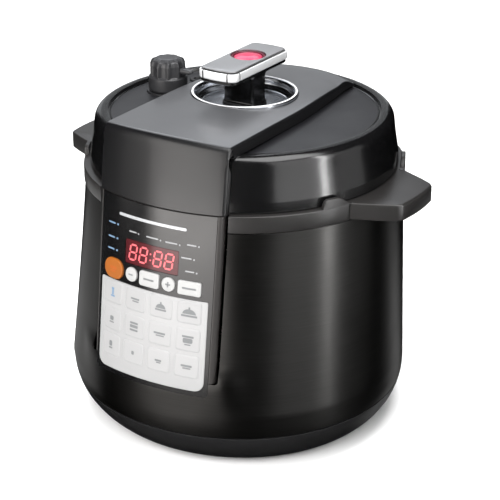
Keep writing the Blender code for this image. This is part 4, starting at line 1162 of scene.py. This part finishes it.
def make_valve():
    """Steam release knob with a fluted grip, domed top, pointer and lever, and the float pin in its bezel."""
    base = low("steam_release_knob")
    top = high("steam_release_knob")
    radius = 0.0178
    hollow = base + 0.0145

    def profile(angle):
        flute = 0.5 + 0.5 * math.cos(10 * angle)
        grip = 0.0019 * (1 - flute ** 2)
        return fillet([
            (0.0062, base, 0.0004),
            (radius - 0.0006, base, 0.0010),
            (radius, base + 0.0022, 0.0010),
            (radius - 0.0002, base + 0.0122, 0.0006),
            (radius - 0.0013, base + 0.0130, 0.0003),
            (radius - 0.0010 - grip, base + 0.0140, 0.0006),
            (radius - 0.0012 - grip, top - 0.0065, 0.0012),
            (0.0150 - 0.9 * grip, top - 0.0026, 0.0030),
            (0.0096 - 0.5 * grip, top - 0.0004, 0.0050),
            (0, top, 0),
            (0, hollow, 0),
            (0.0062, hollow, 0.0002),
        ], 5)

    put(lathe("release_knob", profile, VALVE), "knob_grey", "knob", "satin_black", "steam_release_knob")

    start = VALVE[0] + 0.011
    level = base + 0.0193
    rings = []
    for step in range(11):
        share = step / 10
        x = start + (high("steam_release_knob", 0) - start) * share
        taper = 1 - 0.25 * share
        tip = math.sqrt(max(1 - max(share - 0.85, 0) ** 2 / 0.0225 * 0.75, 0.05))
        half_y = 0.0044 * taper * tip
        half_z = 0.0026 * taper * tip
        outline = rounded_outline(half_y, half_z, min(half_y, half_z) * 0.7, 4, (VALVE[1], level))
        rings.append([(x, y, z) for y, z in outline])
    put(solid("release_lever", rings), "knob_grey", "knob", "satin_black")
    levels = soft_levels(top - 0.0035, top - 0.0001, 0.0008)
    put(pad("knob_pointer", 0.0075, 0.0016, 0.0014, levels, VALVE), "knob_grey", "knob", "satin_black")

    corners = [(10, -1.8, 0), (19.4, -1.8, 0), (19.4, -0.8, 0.6), (18.8, -0.4, 0.4), (10, -0.4, 0)]
    put(turned_part("knob_seat", base, corners, VALVE, steps=4), "satin_black", "lid", "satin_black")
    bezel = turned_part("float_bezel", RIM_TOP, [
        (3.4, -3.2, 0), (7.8, -3.2, 0), (7.8, -0.8, 0.6), (6.6, -0.2, 0.5), (4.4, -0.2, 0.4), (3.4, -2, 0.4),
    ], FLOAT, 64, 4)
    put(bezel, "satin_black", "lid", "satin_black")
    corners = [(0, 0, 0), (5, 0, 0.4), (5, 1.5, 0.4), (2.8, 1.8, 0.4), (2.8, 35, 0.8), (0, 35, 0)]
    pin = turned_part("float_pin", low("float_valve"), corners, FLOAT, 48, 4)
    put(pin, "spun_steel", "float", "steel", "float_valve")


def make_inside():
    """The pot with its level marks, and the gasket with its groove."""
    wall = 0.0012
    pot = fillet([
        (0, POT_LOW, 0), (POT_RADIUS, POT_LOW, 0.010), (POT_RADIUS, POT_TOP - 0.0020, 0.0012),
        (POT_LIP, POT_TOP - 0.0018, 0.0008), (POT_LIP, POT_TOP, 0.0009), (POT_RADIUS - wall, POT_TOP, 0.0018),
        (POT_RADIUS - wall, POT_LOW + 0.0020, 0.009), (0, POT_LOW + 0.0020, 0),
    ], 8)
    put(lathe("pot_shell", pot), "spun_steel", "pot", "steel", "inner_pot")
    marks = []
    inner = POT_RADIUS - wall - 0.0001
    outer = POT_RADIUS - wall + 0.0002
    angles = [math.pi + math.radians(-9 + 18 * i / 12) for i in range(13)]
    for base in (0.110, 0.140, 0.170, 0.200):
        band = [(inner, base), (outer, base), (outer, base + 0.0008), (inner, base + 0.0008)]
        marks.append([[(r * math.sin(a), -r * math.cos(a), z) for r, z in band] for a in angles])
    put(solid("pot_level_marks", *marks), "print_grey", "pot", "steel")

    seal = turned_part("gasket", low("sealing_gasket"), [
        (104.5, 0, 0.3), (118.3, 0, 1), (119.5, 1.4, 1), (119.5, 6, 0.8), (104.5, 6, 0.5), (104.5, 4.2, 0.3),
        (115, 3.7, 0.6), (115, 2, 0.6), (104.5, 1.7, 0.3),
    ], segments=ROUND)
    put(seal, "silicone", "seal", "silicone", "sealing_gasket")


def make_spring(name, node, turns, body):
    """A wound wire with the frame's spring's size."""
    lowest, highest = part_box(node)
    wire = 0.0006
    radius = (highest[0] - lowest[0]) / 2 - wire
    centre = middle(node)
    steps = turns * 28
    rings = []
    for step in range(steps + 1):
        angle = math.tau * turns * step / steps
        height = lowest[2] + wire + (highest[2] - lowest[2] - 2 * wire) * step / steps
        ring = []
        for side in range(10):
            around = math.tau * side / 10
            out = radius + wire * math.cos(around)
            place = (centre[0] + out * math.cos(angle), centre[1] + out * math.sin(angle))
            ring.append((*place, height + wire * math.sin(around)))
        rings.append(ring)
    coil = put(solid(name, rings), "spun_steel", body, "steel", node)
    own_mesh(coil)


def make_rear():
    """The drip cup, and soft edges on the nodes that keep their CAD shape."""
    lowest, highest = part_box("condensation_cup")
    half_y = (highest[1] - lowest[1]) / 2
    wall = 0.0016
    base = lowest[2]
    top = highest[2]
    levels = [(0.0016, base, 1), (0.0005, base + 0.0005, 1), (0, base + 0.0018, 1), (0, top - 0.0030, 1),
              (0, top - 0.0006, 1), (0.0004, top, 1), (wall - 0.0004, top, 1), (wall, top - 0.0006, 1),
              (wall, base + 0.0030, 1), (wall + 0.0012, base + wall, 1)]
    cup = pad("drip_cup_shell", highest[0], half_y, 0.0030, levels, middle("condensation_cup")[:2], 6)
    put(cup, "clear_grey", "drip_cup", "clear_grey", "condensation_cup")
    for node in (
        "cup_bracket", "power_inlet", "power_board", "control_board", "display_module", "thermal_fuse",
        "pressure_switch", "inlet_pin_1", "inlet_pin_2", "inlet_pin_3", "metal_lid", "bayonet_liner",
        "heating_plate", "temperature_sensor", "sensor_cage", "anti_block_guard", "gasket_ring",
    ):
        soften = frame["nodes"][node].modifiers.new("soft edges", "BEVEL")
        soften.width = 0.00025
        soften.segments = 2
        soften.limit_method = "ANGLE"
        soften.angle_limit = math.radians(50)
        soften.harden_normals = True


def dress_nodes():
    """Gives every CAD node that stays in view the finish of its record slot."""
    slots = {part["node"]: part["material_slot"] for part in frame["record"]["subparts"]}
    for name, obj in frame["nodes"].items():
        slot = slots[name]
        material = MATERIALS["spun_steel" if slot == "steel" else slot]
        if obj.material_slots:
            for place in obj.material_slots:
                place.material = material
        else:
            obj.data.materials.append(material)


# ---------------------------------------------------------------- camera, floor and light


def direction(azimuth, elevation=0.0):
    """The unit vector at an azimuth from -Y and an elevation, in degrees."""
    bearing = math.radians(azimuth)
    raised = math.radians(elevation)
    across = math.cos(raised)
    return Vector((math.sin(bearing) * across, -math.cos(bearing) * across, math.sin(raised)))


def make_camera():
    distance = 1.5258
    target = Vector((0, 0, MIDDLE_LEVEL))
    back = direction(32.34, 23.08)
    data = bpy.data.cameras.new("camera")
    data.lens = 120.7
    data.sensor_width = 36.0
    data.shift_x = 0.0108
    data.shift_y = -0.0286
    camera = bpy.data.objects.new("camera", data)
    camera.location = target + back * distance
    camera.rotation_euler = back.to_track_quat("Z", "Y").to_euler()
    bpy.context.scene.collection.objects.link(camera)
    bpy.context.scene.camera = camera


def make_floor():
    """A pale floor, in strips from front to rear."""
    half = 6.0
    strips = 24
    work = bmesh.new()
    rows = []
    for index in range(strips + 1):
        y = -half + 2 * half * index / strips
        rows.append([work.verts.new((x, y, 0.0)) for x in (-half, half)])
    for first, second in zip(rows, rows[1:]):
        work.faces.new((first[0], first[1], second[1], second[0]))
    floor = to_object("floor", work)
    paper = finish("floor_paper", (0.93, 0.93, 0.93), 0.75, tint=0.01, grain=60, bump=0.01, smudge=0.05)
    floor.data.materials.append(paper)
    floor.visible_glossy = False


def softbox(name, azimuth, reach, bottom, top, width, radiance, colour=(1.0, 1.0, 1.0)):
    """A standing softbox that faces the cooker from an azimuth, between two levels."""
    away = direction(azimuth) * reach
    centre_level = Vector((0, 0, (bottom + top) / 2))
    data = bpy.data.lights.new(name, "AREA")
    data.shape = "RECTANGLE"
    data.size = width
    data.size_y = top - bottom
    data.energy = radiance * math.pi * width * (top - bottom)
    data.color = colour
    light = bpy.data.objects.new(name, data)
    light.location = away + centre_level
    facing = away + centre_level - Vector((0, 0, MIDDLE_LEVEL))
    light.rotation_euler = facing.to_track_quat("Z", "Y").to_euler()
    light.visible_camera = False
    bpy.context.scene.collection.objects.link(light)
    return light


def make_world():
    """A dim sky, paler overhead, with a soft glow low in front."""
    world = bpy.data.worlds.new("studio")
    world.use_nodes = True
    tree = world.node_tree
    place = add_node(tree, "TexCoord", {}).outputs["Generated"]
    upwards = add_node(tree, "SeparateXYZ", {0: place}).outputs["Z"]
    sky = map_range(tree, upwards, (0.15, 0.85), (0.025, 0.16), "SMOOTHSTEP")
    towards = add_node(tree, "VectorMath", {0: place, 1: direction(-2, -40)}, operation="DOT_PRODUCT")
    spread = [math.cos(math.radians(angle)) for angle in (32, 14)]
    glow = map_range(tree, towards.outputs["Value"], spread, (0.0, 1.0), "SMOOTHSTEP")
    total = add_node(tree, "Math", {0: sky, 1: glow})
    set_inputs(tree, tree.nodes["Background"], {"Strength": total.outputs[0]})
    bpy.context.scene.world = world


def make_light():
    """Soft boxes at the front, the sides and the rear, one over the shoulder, and a ceiling for the floor."""
    warm = (1.0, 0.965, 0.94)
    softbox("front_box", -10, 0.95, 0.0, 0.80, 0.84, 1.75, warm)
    softbox("front_low_box", -1, 0.495, 0.0, 0.19, 0.42, 1.75, warm)
    softbox("front_fill", -46, 0.95, 0.0, 0.80, 0.26, 0.36, (1.0, 0.97, 0.95))
    softbox("right_box", 74, 0.95, 0.0, 0.80, 0.80, 0.95)
    softbox("right_strip", 85.5, 0.59, 0.0, 0.60, 0.05, 6.6)
    softbox("right_fill", 110, 0.80, 0.0, 0.60, 0.34, 0.35)
    softbox("rear_right_strip", 152, 0.40, -0.30, 0.07, 0.14, 0.55)
    softbox("left_strip", -84, 0.42, -0.15, 0.09, 0.34, 0.58)
    softbox("rear_low_box", 216, 1.70, 0.10, 0.84, 1.5, 0.44, (0.94, 0.97, 1.0))
    softbox("rear_high_box", 219, 1.55, 1.12, 2.05, 1.4, 1.8, (0.92, 0.95, 1.0))
    shoulder = softbox("shoulder_box", 0, 0.0, 0.0, 1.2, 1.1, 2.6)
    shoulder.location = (0.63, -0.20, 1.55)
    shoulder.rotation_euler = Vector((0.40, -0.08, 1.0)).to_track_quat("Z", "Y").to_euler()
    shoulder.visible_diffuse = False
    fill = softbox("floor_fill", 12, 1.7, 0.9, 2.1, 2.4, 8.5)
    fill.visible_glossy = False
    ceiling = softbox("ceiling", 0, 0.0, 1.4, 3.0, 1.6, 12.5)
    ceiling.location = (0, 0, 2.2)
    ceiling.rotation_euler = (0, 0, 0)
    ceiling.visible_glossy = False
    bpy.context.scene.view_settings.view_transform = "Standard"


def main():
    make_materials()
    make_camera()
    make_floor()
    make_world()
    make_light()
    dress_nodes()
    make_body()
    make_base()
    make_collar()
    make_housing()
    make_face()
    make_keypad()
    make_buttons()
    make_display()
    make_lid()
    make_bridge()
    make_dish()
    make_pedestal()
    make_handle()
    make_red_button()
    make_valve()
    make_inside()
    make_spring("sensor_coil", "sensor_spring", 4, "cooker_base")
    make_spring("button_coil", "release_button_spring", 3, "lid")
    make_rear()


main()
